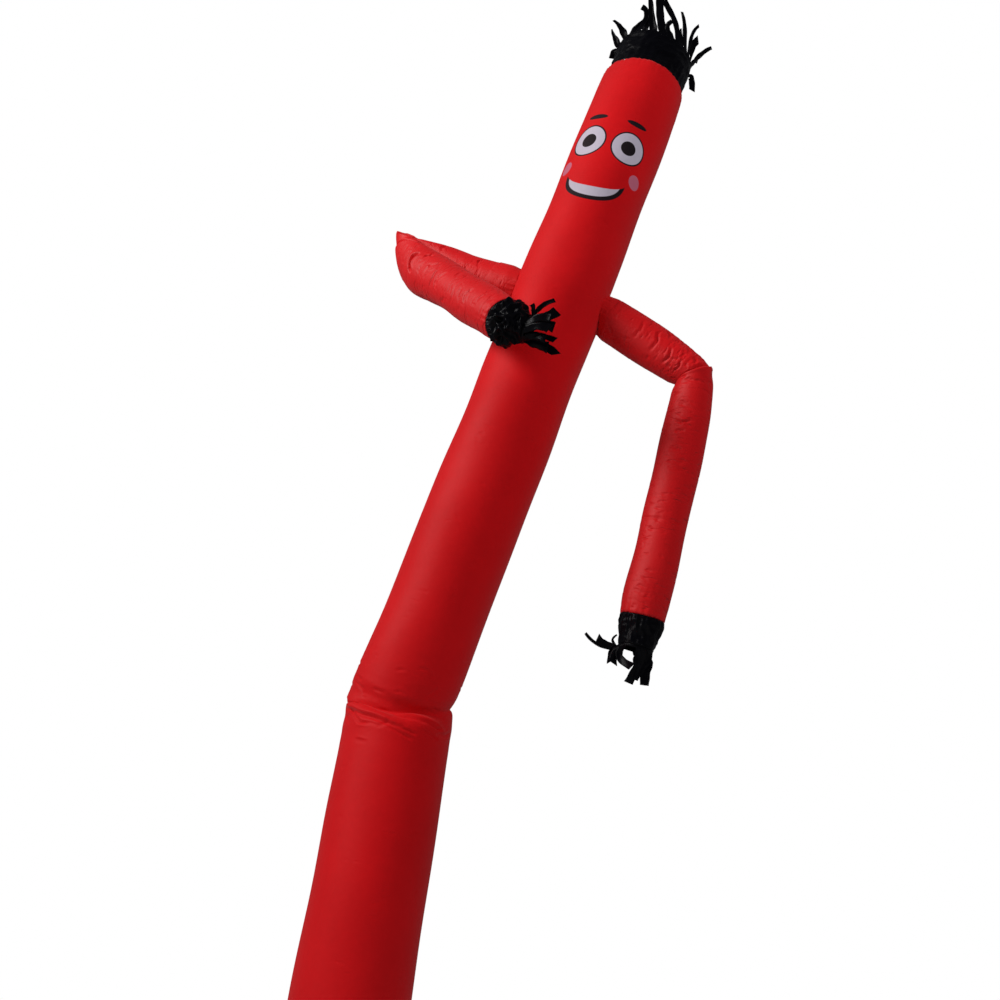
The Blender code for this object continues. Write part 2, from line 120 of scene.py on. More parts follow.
# Folds and puckers: the line each follows as (degrees around, metres along) on its piece, half width and depth.
Fold = namedtuple("Fold", "line width depth")
BODY_FOLDS = table(
    Fold,
    (((-78, 2.062), (-42, 2.036), (-8, 2.026), (30, 2.03), (66, 2.06)), 0.024, 0.006),
    (((-80, 1.99), (-66, 1.978), (-52, 1.94), (-40, 1.903), (-26, 1.896)), 0.006, 0.009),
    (((-74, 1.955), (-58, 1.905)), 0.007, 0.005), (((-70, 2.094), (-50, 2.074)), 0.0055, 0.009),
    (((-66, 2.068), (-44, 2.038)), 0.0055, 0.01), (((-30, 2.055), (-12, 2.058)), 0.006, 0.004),
    (((-4, 1.888), (9, 1.868), (20, 1.85)), 0.005, 0.007), (((9, 1.892), (24, 1.876)), 0.005, 0.006),
    (((30, 1.905), (44, 1.892), (52, 1.88)), 0.006, 0.005), (((-42, 1.836), (-26, 1.822)), 0.005, 0.004),
    (((48, 1.9), (66, 1.915), (80, 1.94)), 0.009, 0.006),
    (((100, 2.02), (128, 2.045), (150, 2.06)), 0.01, 0.007), (((-128, 2.03), (-108, 1.99)), 0.01, 0.006),
    (((160, 2.16), (190, 2.175), (220, 2.15)), 0.01, 0.006), (((165, 2.03), (200, 2.05)), 0.01, 0.006),
)
# A fold that hangs over: a ridge that rises slowly from above the line and drops off sharply at it.
Ledge = namedtuple("Ledge", "line rise reach cut")
WAIST_LEDGES = table(
    Ledge,
    (((-78, 1.99), (-55, 1.972), (-40, 1.95), (-19, 1.93), (-3, 1.91), (10, 1.899)), 0.015, 0.026, 0.006),
    (((2, 1.95), (20, 1.952), (36, 1.952), (49, 1.942), (64, 1.926)), 0.01, 0.024, 0.006),
)
# Seeded small folds: how many, where (degrees, metres), their length, half width, depth and slant in degrees.
Scatter = namedtuple("Scatter", "seed count around along length width depth slant")
BODY_SCATTER = table(
    Scatter,
    (71, 34, (-180, 180), (1.84, 2.3), (0.025, 0.07), 0.006, 0.004, 22),
    (72, 24, (-110, 110), (5.28, 5.42), (0.015, 0.04), 0.005, 0.003, 70),
)
# Random fields on blown-up cloth: whole turns around, lengths along, depth, and how wide a crease's trough is.
Field = namedtuple("Field", "turns lengths depth trough", defaults=(None, None))
# Slow waves all over; near a fold also swells, and creases that show where the field of breaks is over low.
Unrest = namedtuple("Unrest", "sway creases swell breaks low high")
TUBE_UNREST = Unrest(
    Field((1, 3), (0.5, 1.5), 0.0022), Field((2, 9), (0.035, 0.09), 0.002, 0.35),
    Field((1, 5), (0.07, 0.2), 0.0012), Field((2, 5), (0.12, 0.4)), -0.3, 0.9)
SLEEVE_UNREST = Unrest(
    Field((1, 2), (0.3, 0.8), 0.002), Field((1, 3), (0.035, 0.09), 0.003, 0.4),
    Field((1, 3), (0.05, 0.14), 0.0012), Field((1, 3), (0.1, 0.3)), -0.5, 0.7)
SLEEVE_CREASES = Field((1, 4), (0.05, 0.14), 0.0022, 0.35)

Arm = namedtuple("Arm", "shoulder elbow wrist fold half_width half_thickness inset reach lies_flat")
FOLDED = Arm(
    shoulder=Vector((0.235, -0.33, 4.1)), elbow=Vector((-0.361, -0.158, 4.328)),
    wrist=Vector((0.207, -0.7, 3.612)), fold=Vector((-0.386, -0.648, 0.656)),
    half_width=0.16, half_thickness=0.02, inset=0.0, reach=0.42, lies_flat=True,
)
HANGING = Arm(
    shoulder=Vector((0.658, -0.359, 3.99)), elbow=Vector((1.139, -0.381, 3.701)),
    wrist=Vector((0.994, -0.103, 2.554)), fold=Vector((-0.17, -0.925, -0.34)),
    half_width=0.112, half_thickness=0.086, inset=0.021, reach=0.28, lies_flat=False,
)
ROOT_PINCH = 0.01        # how much smaller than the sleeve its seam to the tube is
WRIST_PINCH = 0.004      # and its seam to the cuff
ROOT_LIP = 0.002         # how far the cloth is turned in right at these seams,
WRIST_LIP = 0.003
LIP_REACH = 0.004        # and over what length
ELBOW_REACH = 0.09       # how far from the elbow the cloth is unsettled
ELBOW_TURN = 0.12        # how far from the elbow the rings start turning into the fold's plane
LIMB_CLEARANCE = 0.004   # between the two limbs of a folded arm
PRESSED_REACH = 0.16     # how far from a folded elbow the two limbs press each other flat
SMOOTH_REACH = 0.18      # and how far their pressed sides have no wrinkles
ROOT_REACH = 0.12        # how far from the shoulder the rows still follow the slanted seam
SEAM_LIFT = 0.0015       # how far outside the tube's plain surface that seam runs
SHOULDER_DEPTH = 0.15    # how far from the shoulder, along the arm, the tube's cloth is drawn to the sleeve
HOLE_MARGIN = 0.009      # how much smaller than the seam the hole in the tube is
PULL_LIFT = 0.0035       # how far the tube's cloth is drawn out at that seam,
PULL_DEPTH = 0.003       # how deep the creases are that radiate from it,
PULL_REACH = 0.05        # and over what distance both die away
TUBE_SEED = 11           # of the tube's first random field; the others follow it
# Where the folded forearm's full end starts, as (azimuth, metres along): it stands over the elbow's flat tip.
FOLDED_STEP = (
    (-180, 0.862), (-170, 0.815), (-159, 0.774), (-149, 0.747), (-138, 0.725), (-125, 0.7), (-110, 0.682),
    (-90, 0.69), (-60, 0.74), (-30, 0.8), (0, 0.84), (60, 0.9), (160, 0.95), (180, 0.862),
)
STEP_HEIGHT = 0.014
# How far the upper side of a folded elbow is drawn in, by distance from the elbow, so that both limbs run in
# one straight edge to the tip.
TUCK = (
    (-0.22, 0.003), (-0.12, 0.006), (-0.07, 0.015), (-0.03, 0.0245), (-0.005, 0.0262), (0.005, 0.0135),
    (0.05, 0.0125), (0.08, 0.011), (0.12, 0.008), (0.24, 0.0),
)
FOLDED_FOLDS = table(
    Fold,
    (((-100, 0.668), (-114, 0.674), (-138, 0.72), (-149, 0.74), (-159, 0.766),
      (-170, 0.806), (-182, 0.87)), 0.007, 0.009),
    (((-98, 0.972), (-114, 0.938), (-136, 0.926), (-152, 0.952)), 0.0075, 0.02),
    (((-152, 0.99), (-166, 1.02)), 0.007, 0.014),
    (((-112, 1.085), (-136, 1.095), (-158, 1.14)), 0.006, 0.007),
    (((-92, 1.235), (-118, 1.222), (-146, 1.255)), 0.006, 0.006),
    (((-78, 1.39), (-104, 1.405), (-130, 1.38)), 0.006, 0.005),
    (((-96, 1.52), (-122, 1.495), (-146, 1.52)), 0.006, 0.008), (((-70, 1.3), (-88, 1.33)), 0.006, 0.006),
    (((146, 0.43), (160, 0.436), (176, 0.42)), 0.006, 0.008), (((150, 0.215), (170, 0.205)), 0.006, 0.006),
)
HANGING_FOLDS = table(
    Fold,
    (((-30, 0.215), (0, 0.232), (28, 0.218)), 0.006, 0.006),
    (((-26, 0.3), (4, 0.33), (36, 0.322)), 0.006, 0.008),
    (((-8, 0.402), (20, 0.418), (44, 0.4)), 0.006, 0.008),
    (((4, 0.472), (24, 0.488), (46, 0.478)), 0.006, 0.007), (((-34, 0.505), (-14, 0.522)), 0.006, 0.006),
    (((-12, 0.828), (12, 0.846), (34, 0.838)), 0.006, 0.008), (((0, 0.88), (24, 0.892)), 0.006, 0.005),
    (((-30, 1.06), (-4, 1.072)), 0.006, 0.004),
)
FOLDED_SCATTER = table(
    Scatter,
    (73, 60, (-180, 180), (0.03, 0.66), (0.018, 0.045), 0.005, 0.003, 40),
    (74, 130, (-180, 180), (0.72, 1.66), (0.018, 0.05), 0.005, 0.0036, 45),
)
HANGING_SCATTER = table(
    Scatter,
    (75, 90, (-180, 180), (0.1, 0.56), (0.018, 0.05), 0.0052, 0.004, 40),
    (76, 90, (-180, 180), (0.6, 1.7), (0.018, 0.045), 0.005, 0.003, 40),
)

# A cuff's bending middle line, the direction of its side, and its rings as (share, half width, half thickness).
Cuff = namedtuple("Cuff", "start bend end side rings")


def cuff_of(arm, bend_reach, end, *rings):
    """A cuff that goes on from a sleeve's wrist and ends at a point of its own."""
    along = (arm.wrist - arm.elbow).normalized()
    start = arm.wrist + along * SEAM_GAP
    bend = start + along * bend_reach
    return Cuff(start, bend, end or bend + along * bend_reach, arm.fold, rings)


FOLDED_CUFF = cuff_of(
    FOLDED, 0.05, Vector((0.307, -0.742, 3.552)),
    (0.0, 0.101, 0.101), (0.2, 0.104, 0.104), (0.45, 0.101, 0.101), (0.7, 0.087, 0.087), (0.87, 0.07, 0.07),
    (1.0, 0.062, 0.062))
HANGING_CUFF = cuff_of(
    HANGING, 0.066, None,
    (0.0, 0.101, 0.101), (0.25, 0.099, 0.099), (0.6, 0.093, 0.09), (1.0, 0.089, 0.08))
HEAD_TOP = UP * WAIST_HEIGHT + LEAN * HEAD_LENGTH
HAIR_BAND = Cuff(
    HEAD_TOP + LEAN * SEAM_GAP, HEAD_TOP + LEAN * BAND_LENGTH / 2, HEAD_TOP + LEAN * BAND_LENGTH,
    Vector((1, 0, 0)), (
        (0.0, 0.2125, 0.2125), (0.08, 0.203, 0.203), (0.25, 0.198, 0.198), (0.6, 0.203, 0.203),
        (1.0, 0.201, 0.201)))

Strip = namedtuple("Strip", "azimuth middle tip root_width tip_width twist")


def strips(*rows):
    """Strips of a fringe in rising order of azimuth, from rows in degrees and millimetres: the root's azimuth
    on the ring, the middle and the tip as (rise, reach, drift) along the ring's axis, outwards and towards a
    rising azimuth, the widths at root and tip, and the degrees through which the strip has twisted at its tip.
    """
    def place(values):
        return Vector([value / 1000 for value in values])

    return tuple(
        Strip(azimuth, place(middle), place(tip), root / 1000, end / 1000, twist)
        for azimuth, middle, tip, root, end, twist in rows)


HAIR = strips(
    (-105, (20, 30, 0), (-20, 35, -10), 40, 24, 60), (-86, (40, 40, 0), (80, 70, 0), 50, 6, 75),
    (-64, (30, 40, 0), (50, 90, -10), 44, 10, 60), (-49, (50, -10, 20), (120, -30, 40), 34, 12, 40),
    (-37, (90, 0, 20), (120, 40, 0), 30, 26, 30), (-26, (40, 10, 10), (90, 20, 10), 34, 12, 0),
    (-12, (60, 30, -30), (160, 60, -70), 40, 18, 0), (4, (70, 20, -50), (190, 40, -90), 44, 40, 0),
    (16, (30, 10, -40), (60, 30, -30), 34, 22, 0), (28, (90, 0, -60), (160, -10, -150), 32, 30, 20),
    (37, (40, 0, -30), (60, 10, -50), 22, 8, 0), (46, (110, -20, -40), (180, -30, -90), 34, 12, 45),
    (56, (100, 0, -30), (160, 20, -30), 26, 15, 60), (67, (70, -10, -10), (120, 10, -20), 34, 36, 75),
    (79, (90, 30, 0), (140, 70, 0), 30, 18, 70), (89, (60, 0, 0), (70, 20, 0), 26, 16, 70),
    (107, (20, 25, 0), (-50, 55, 0), 44, 30, 80), (124, (70, 20, 10), (120, 70, 20), 38, 14, 20),
    (138, (80, 0, -10), (170, 20, 20), 40, 10, -30), (153, (60, 20, 10), (100, 60, 30), 34, 20, 20),
    (167, (90, 10, 0), (190, 30, -30), 42, 12, 0), (182, (70, 20, 0), (130, 50, 20), 38, 24, 30),
    (196, (80, -10, 10), (180, 0, 30), 32, 16, -40), (209, (50, 30, 0), (90, 80, -10), 36, 10, 20),
    (223, (80, 10, -10), (150, 40, 0), 38, 18, 40), (238, (60, 20, 0), (120, 60, 10), 34, 14, -30),
)
FOLDED_FINGERS = strips(
    (-150, (50, -20, -20), (100, -20, -20), 28, 30, 10), (-105, (40, -10, 10), (100, -10, 10), 30, 40, 75),
    (-70, (70, 10, 10), (130, 30, 0), 30, 28, 80), (-35, (40, 10, 10), (100, 20, 10), 26, 22, 30),
    (10, (40, 10, 10), (80, 20, 0), 30, 36, 0), (42, (40, 20, 0), (80, 60, 10), 30, 36, 45),
    (72, (20, 50, -10), (70, 90, -10), 20, 14, 70), (100, (0, 30, -20), (-10, 50, -20), 18, 18, 75),
    (135, (50, 20, -30), (100, 30, -40), 28, 30, 20), (168, (50, 0, -30), (110, 0, -40), 28, 34, 0),
)
HANGING_FINGERS = strips(
    (-90, (10, 0, 10), (20, 0, 20), 24, 16, 10), (-67, (40, 0, -10), (70, -10, 30), 34, 34, -20),
    (-40, (30, 0, -20), (80, -10, -30), 34, 30, -50), (-8, (60, -12, 0), (140, -5, 0), 50, 30, 20),
    (28, (60, -20, 10), (130, -40, 10), 44, 16, 50), (58, (70, -30, 0), (150, -60, 10), 38, 30, 20),
    (80, (45, -10, -10), (80, -20, -20), 22, 14, 0), (128, (50, -10, 20), (85, 0, -60), 22, 26, -20),
    (150, (40, 10, 10), (85, 15, 5), 36, 34, -20), (175, (30, 15, -10), (75, 10, -20), 32, 34, -10),
    (191, (-20, 30, 0), (-50, 20, 10), 14, 6, 60), (203, (0, 60, -20), (-20, 100, -30), 22, 24, 70),
    (218, (10, 80, -50), (-30, 150, -90), 14, 10, 70),
)
BACKING = 0.012          # height of the strip of cloth that a fringe hangs from
FRINGE_INSET = 0.0018    # it is sewn to the cuff's inner face
FRINGE_OVERLAP = 0.006
CUFF_LIP = 0.003         # how far a cuff's first edge is turned in, and over what length
STRIP_ROWS = 16
STRIP_PARTS = 5          # faces across a strip
RING_STEP = 5.0          # degrees of a backing ring between two of its corners
TOWARDS_FRONT = Vector((0.0, -0.89, -0.46))    # where the strips turn their flat sides to

# The printed face, of plain discs over each other: their places from its middle, around and along, their half
# sizes and their ink. Those that come in pairs are written once.
Motif = namedtuple("Motif", "around along half_width half_height ink")
FACE_AZIMUTH = -10.0
FACE_PLACE = ((FACE_AZIMUTH + 180.0) / 360.0 * math.tau * FOOT_RADIUS, WAIST_HEIGHT + 2.7)
MOUTH = (
    (0.0, -0.095, 0.165, 0.14, "dark"), (0.0, -0.095, 0.143, 0.118, "light"),
    (0.0, -0.03, 0.185, 0.13, "cloth"),
)
PAIRS = (
    (0.205, -0.03, 0.038, 0.038, "pink"), (0.108, 0.262, 0.056, 0.014, "dark"),
    (0.108, 0.115, 0.094, 0.094, "dark"), (0.108, 0.115, 0.086, 0.086, "light"),
    (0.108, 0.115, 0.04, 0.04, "dark"),
)
FACE = table(Motif, *MOUTH, *((side * around, *rest) for around, *rest in PAIRS for side in (-1, 1)))


class DancerSizes(bpy.types.PropertyGroup):
    """Sizes of the cloth pieces"""
    foot_radius: bpy.props.FloatProperty(
        name="Foot radius", description="Half the width of the tube below the waist", default=FOOT_RADIUS,
        unit="LENGTH")
    torso_radius: bpy.props.FloatProperty(
        name="Torso radius", description="Half the width of the tube above the waist", default=0.2235,
        unit="LENGTH")
    arm_radius: bpy.props.FloatProperty(
        name="Arm radius", description="Half the width of a blown-up sleeve", default=0.105, unit="LENGTH")
    cloth: bpy.props.FloatProperty(
        name="Cloth", description="Thickness of the nylon", default=0.0012, unit="LENGTH")
    pucker: bpy.props.FloatProperty(
        name="Pucker depth", description="Depth of the gathers beside a seam", default=0.0035, unit="LENGTH")
    crumple: bpy.props.FloatProperty(
        name="Crumple depth", description="Depth of the crumples in the closed cuff", default=0.008,
        unit="LENGTH")
    hem: bpy.props.FloatProperty(
        name="Hem height", description="Height of the turned hem at the foot", default=0.045, unit="LENGTH")


class DancerColours(bpy.types.PropertyGroup):
    """Colours of the cloth and the print"""
    red: bpy.props.FloatVectorProperty(
        name="Red nylon", description="Colour of the tube and the sleeves", default=(0.74, 0.005, 0.008),
        size=3, subtype="COLOR")
    black: bpy.props.FloatVectorProperty(
        name="Black nylon", description="Colour of the cuffs, the hair and the fringes",
        default=(0.0012, 0.0012, 0.0026), size=3, subtype="COLOR")
    light_ink: bpy.props.FloatVectorProperty(
        name="Light ink", description="Palest ink of the face", default=(0.62, 0.56, 0.66), size=3,
        subtype="COLOR")
    dark_ink: bpy.props.FloatVectorProperty(
        name="Dark ink", description="Darkest ink of the face", default=(0.010, 0.009, 0.012), size=3,
        subtype="COLOR")
    pink_ink: bpy.props.FloatVectorProperty(
        name="Pink ink", description="Third ink of the face", default=(0.62, 0.16, 0.24), size=3,
        subtype="COLOR")


# --- grids of points: rows along a piece, columns around it ---
def spaced(*spans):
    """Row positions over spans with a gap of their own."""
    rows = []
    for start, end, gap in spans:
        count = max(1, round((end - start) / gap))
        rows.extend(start + (end - start) * i / count for i in range(count))
    return np.array(rows + [spans[-1][1]])


def column_angles(count):
    return np.arange(count) * 360.0 / count - 180.0


def looked_up(pairs, places):
    """Shares between the rows of a table of places and shares."""
    return np.interp(places, *zip(*pairs))


def soft_step(low, high, values):
    t = np.clip((values - low) / (high - low), 0.0, 1.0)
    return t * t * (3 - 2 * t)


def bell(values, width, middle=0.0):
    """1 in the middle, falling off to 0 on both sides."""
    return np.exp(-((values - middle) / width) ** 2)


def tapered(share):
    """1 along a line, falling off to 0 at its two ends."""
    return 1 - (2 * share - 1) ** 4


def outward(azimuth, side, front):
    angle = np.radians(azimuth)
    return np.multiply.outer(np.sin(angle), np.array(side)) + np.multiply.outer(np.cos(angle), np.array(front))


def facing_out(grid):
    """Unit normals of a grid that closes around its columns, pointing away from its middle line."""
    around = np.roll(grid, -1, axis=1) - np.roll(grid, 1, axis=1)
    normal = np.cross(around, np.gradient(grid, axis=0))
    normal /= np.maximum(np.linalg.norm(normal, axis=2, keepdims=True), 1e-9)
    middle = grid.mean(axis=1, keepdims=True)
    return normal if ((grid - middle) * normal).sum() > 0 else -normal


def waves(around, along, seed, turns, lengths, count=14):
    """A smooth random field of about unit height: cosines with whole turns around and random lengths along."""
    draw = np.random.default_rng(seed)
    field = np.zeros(np.broadcast(around, along).shape)
    for _ in range(count):
        turn = draw.integers(turns[0], turns[1] + 1) * draw.choice((-1, 1))
        length = math.exp(draw.uniform(math.log(lengths[0]), math.log(lengths[1])))
        field += np.cos(turn * around + math.tau * along / length + draw.uniform(0, math.tau))
    return field / math.sqrt(count / 2)


def crumples(points, seed, lengths, count):
    """A field of sharp ridges and flat facets at points in space, from 0 on the ridges downwards."""
    draw = np.random.default_rng(seed)
    field = np.zeros(points.shape[:-1])
    for _ in range(count):
        direction = draw.normal(size=3)
        direction /= np.linalg.norm(direction)
        length = draw.uniform(*lengths)
        field += np.cos(points @ direction * (math.tau / length) + draw.uniform(0, math.tau))
    return -np.abs(field) / math.sqrt(count / 2)


def creased(field, width):
    """Thin troughs along the lines where a random field is zero, from -1 in the trough to 0."""
    return -np.clip(1 - np.abs(field) / width, 0, 1) ** 2


def crease_field(around, along, seed, field):
    return creased(waves(around, along, seed, field.turns, field.lengths), field.trough)


def unrest(around, along, seed, near, kind):
    """How far blown-up cloth moves outwards, where near is 1 at its fold, and a mask of where creases show."""
    def field(shift, part):
        return waves(around, along, seed + shift, part.turns, part.lengths)

    shown = soft_step(kind.low, kind.high, field(1, kind.breaks))
    moved = kind.sway.depth * field(0, kind.sway)
    moved += kind.creases.depth * near * shown * crease_field(around, along, seed + 2, kind.creases)
    moved += kind.swell.depth * near * field(3, kind.swell)
    return moved, shown


def fold_depth(around, along, girth, fold):
    """How far the cloth moves outwards for one fold, at each point of a grid given in metres."""
    path = [(math.radians(a) / math.tau * girth, b) for a, b in fold.line]
    lengths = [math.dist(a, b) for a, b in zip(path, path[1:])]
    total, passed = sum(lengths), 0.0
    nearest = np.full(along.shape, 1e9)
    place = np.zeros(along.shape)
    for (ax, ay), (bx, by), length in zip(path, path[1:], lengths):
        x = (around - ax + girth / 2) % girth - girth / 2
        y = along - ay
        t = np.clip((x * (bx - ax) + y * (by - ay)) / length ** 2, 0, 1)
        gap = np.hypot(x - t * (bx - ax), y - t * (by - ay))
        closer = gap < nearest
        nearest = np.where(closer, gap, nearest)
        place = np.where(closer, (passed + t * length) / total, place)
        passed += length
    across = nearest / fold.width
    raised_sides = 0.30 * bell(across, 0.8, 1.9)
    return -fold.depth * (bell(across, 1.0) - raised_sides) * tapered(place)


def scattered_folds(*scatters):
    """Small bowed folds, most of them crosswise, in random places."""
    folds = []
    for scatter in scatters:
        draw = random.Random(scatter.seed)
        for _ in range(scatter.count):
            azimuth, along = draw.uniform(*scatter.around), draw.uniform(*scatter.along)
            reach = draw.uniform(*scatter.length) / 2
            slant = math.radians(draw.gauss(0, scatter.slant))
            across = math.degrees(reach * math.cos(slant)) / MEAN_RADIUS
            rise = reach * math.sin(slant)
            bow = reach * draw.uniform(-0.5, 0.5)
            line = ((azimuth - across, along - rise), (azimuth, along + bow), (azimuth + across, along + rise))
            size = draw.uniform(0.5, 1.0)
            folds.append(Fold(line, scatter.width * (0.7 + 0.3 * size), scatter.depth * size))
    return folds


def gathers(around, distance, seed, depth, reach, turns=(16, 34)):
    """Lengthwise puckers beside a seam that die away with the distance from it."""
    field = waves(around, distance * 0.25, seed, turns, (0.4, 1.5), 10)
    return (np.abs(field) - 0.6) * -depth * np.exp(-np.maximum(distance, 0) / reach)


# --- making pieces of cloth ---
def piece_from(name, points, faces, flat, cloth, trim=None):
    """An object with its cloth map and its thickness. flat holds a (u, v) for each corner of each face. trim
    may cut the mesh before it gets its thickness."""
    mesh = bpy.data.meshes.new(name)
    mesh.from_pydata(points, [], faces)
    layer = mesh.uv_layers.new(name="cloth")
    layer.data.foreach_set("uv", np.asarray(flat, dtype=np.float32).ravel())
    mesh.polygons.foreach_set("use_smooth", [True] * len(mesh.polygons))
    mesh.update()
    piece = bpy.data.objects.new(name, mesh)
    bpy.context.scene.collection.objects.link(piece)
    if trim is not None:
        trim(piece)
    wall = piece.modifiers.new("cloth", "SOLIDIFY")
    wall.thickness = cloth
    wall.offset = -1.0
    bpy.context.view_layer.objects.active = piece
    bpy.ops.object.modifier_apply(modifier=wall.name)
    return piece


def sewn_tube(name, grid, girth, along, cloth, trim=None):
    """A tube of cloth from a grid of points: rows along it, columns around it. along is each point's place on
    the flat cut."""
    rows, columns = grid.shape[:2]
    r, c = np.meshgrid(np.arange(rows - 1), np.arange(columns), indexing="ij")
    n = (c + 1) % columns
    faces = np.stack([r * columns + c, r * columns + n, (r + 1) * columns + n, (r + 1) * columns + c], axis=2)
    left = c * girth / columns
    right = (c + 1) * girth / columns
    corners = ((left, r, c), (right, r, n), (right, r + 1, n), (left, r + 1, c))
    flat = np.stack([np.stack([u, along[row, column]], axis=2) for u, row, column in corners], axis=2)
    faces, flat = faces.reshape(-1, 4), flat.reshape(-1, 4, 2)
    around = grid[:, 1] - grid[:, 0]
    up = grid[1:, 0] - grid[:-1, 0]
    outwards = (grid - grid.mean(axis=1, keepdims=True))[:-1, 0]
    if (np.cross(around[:-1], up) * outwards).sum() < 0:
        faces, flat = faces[:, ::-1], flat[:, ::-1]
    return piece_from(name, grid.reshape(-1, 3).tolist(), faces.tolist(), flat, cloth, trim)


def hand_over(piece, material, node):
    """The piece gets its material and takes its node's place."""
    piece.data.materials.append(material)
    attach(piece, "root")
    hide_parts(node)


# --- the tube ---
def crease_heights(azimuth):
    """Height of the waist's crease around the tube, rounded off between the rows of its table."""
    fine = np.arange(-180.0, 180.0, 1.0)
    sharp = looked_up(WAIST_CREASE, (fine + 130) % 360 - 130)
    steps = range(-12, 13)
    shares = bell(np.array(steps), 4.0)
    shares /= shares.sum()
    soft = sum(share * np.roll(sharp, step) for share, step in zip(shares, steps))
    return np.interp(azimuth, np.append(fine, 180.0), np.append(soft, soft[0]))


def tube_grid(sizes):
    """The tube's outer surface before its wrinkles, each point's place on the cloth, and the crease's row."""
    azimuth = column_angles(BODY_COLUMNS)
    crease = crease_heights(azimuth)
    up, lean = np.array(UP), np.array(LEAN)
    turn = UP.rotation_difference(LEAN)
    out_low = outward(azimuth, (1, 0, 0), (0, -1, 0))
    out_high = outward(azimuth, turn @ Vector((1, 0, 0)), turn @ Vector((0, -1, 0)))
    in_front = 1 + FRONT_LOSS * bell(azimuth, FRONT_WIDTH, FRONT_AZIMUTH)

    def upper(along, share, radius):
        shift = (crease - WAIST_HEIGHT - out_high[:, 2] * sizes.torso_radius) / LEAN.z - CREASE_START
        place = along + shift * share
        points = up * WAIST_HEIGHT + np.multiply.outer(place, lean) + out_high * np.reshape(radius, (-1, 1))
        return points, WAIST_HEIGHT + place

    def upper_radius(along):
        lost = 1 - looked_up(UPPER_RADIUS, along)
        return sizes.torso_radius * (1 - lost * (in_front if along < 1 else 1))

    start_radius = upper_radius(CREASE_START)
    meeting, _ = upper(CREASE_START, 1.0, start_radius)
    # The lower wall rolls in over most of the ledge between the tubes, and the crease dips by a little of it.
    ledge = sizes.foot_radius - np.hypot(meeting[:, 0], meeting[:, 1])
    roll = np.clip(0.75 * ledge, 0.004, 0.030)
    depth = np.clip(0.12 * ledge, 0.001, 0.005)
    bend_start, bend_end, _ = LOWER_SPANS[-1]
    points, places = [], []
    for height in spaced(*LOWER_SPANS):
        level = height + (crease - CREASE_REST) * looked_up(LOWER_FOLLOW, height)
        bend = min(max(0.0, (height - bend_start) / (bend_end - bend_start)), 1.0)
        # The wall rolls in along an arc, by the whole roll at its end.
        radius = sizes.foot_radius - roll * (1 - math.sqrt(1 - 0.9 * bend ** 2)) / 0.684
        points.append(np.multiply.outer(level, up) + out_low * radius[:, None])
        places.append(level)
    crease_row = len(points)
    valley, valley_place = upper(CREASE_START - depth, 1.0, start_radius - 0.003)
    between = points[-1] * 0.55 + valley * 0.45 - np.multiply.outer(depth * 0.35, up)
    points += [between, valley]
    places += [places[-1], valley_place]
    for along in spaced(*UPPER_SPANS):
        ring, place = upper(along, looked_up(UPPER_FOLLOW, along), upper_radius(along))
        points.append(ring)
        places.append(place)
    points = np.array(points)
    softness = looked_up(CREASE_SOFTNESS, azimuth)[None, :, None]
    near = bell(np.arange(len(points)) - crease_row - 0.5, CREASE_ROWS)[1:-1, None, None]
    for _ in range(CREASE_PASSES):
        points[1:-1] += 0.5 * near * softness * ((points[:-2] + points[2:]) / 2 - points[1:-1])
    return points, np.array(places), crease_row


def ledge_height(azimuth, along, ledge):
    """How far the cloth stands out at an overhanging fold."""
    places, heights = zip(*ledge.line)
    above = along - np.interp(azimuth, places, heights)
    shape = np.where(above > 0, np.exp(-(np.abs(above) / ledge.reach) ** 1.4), bell(above, ledge.cut))
    shape -= 0.35 * bell(above, 1.3 * ledge.cut, -2.2 * ledge.cut)
    share = np.clip((azimuth - places[0]) / (places[-1] - places[0]), 0, 1)
    return ledge.rise * shape * tapered(share)


def beside_sleeve(grid, arm):
    """Distance from a sleeve's middle line, angle around it, and whether a point is on the sleeve's side."""
    axis = np.array((arm.elbow - arm.shoulder).normalized())
    away = grid - np.array(arm.shoulder)
    depth = away @ axis
    flat = away - depth[..., None] * axis
    side = np.cross(axis, (0, 0, 1))
    side /= np.linalg.norm(side)
    angle = np.arctan2(flat @ np.cross(axis, side), flat @ side)
    return np.linalg.norm(flat, axis=-1), angle, np.abs(depth) < SHOULDER_DEPTH


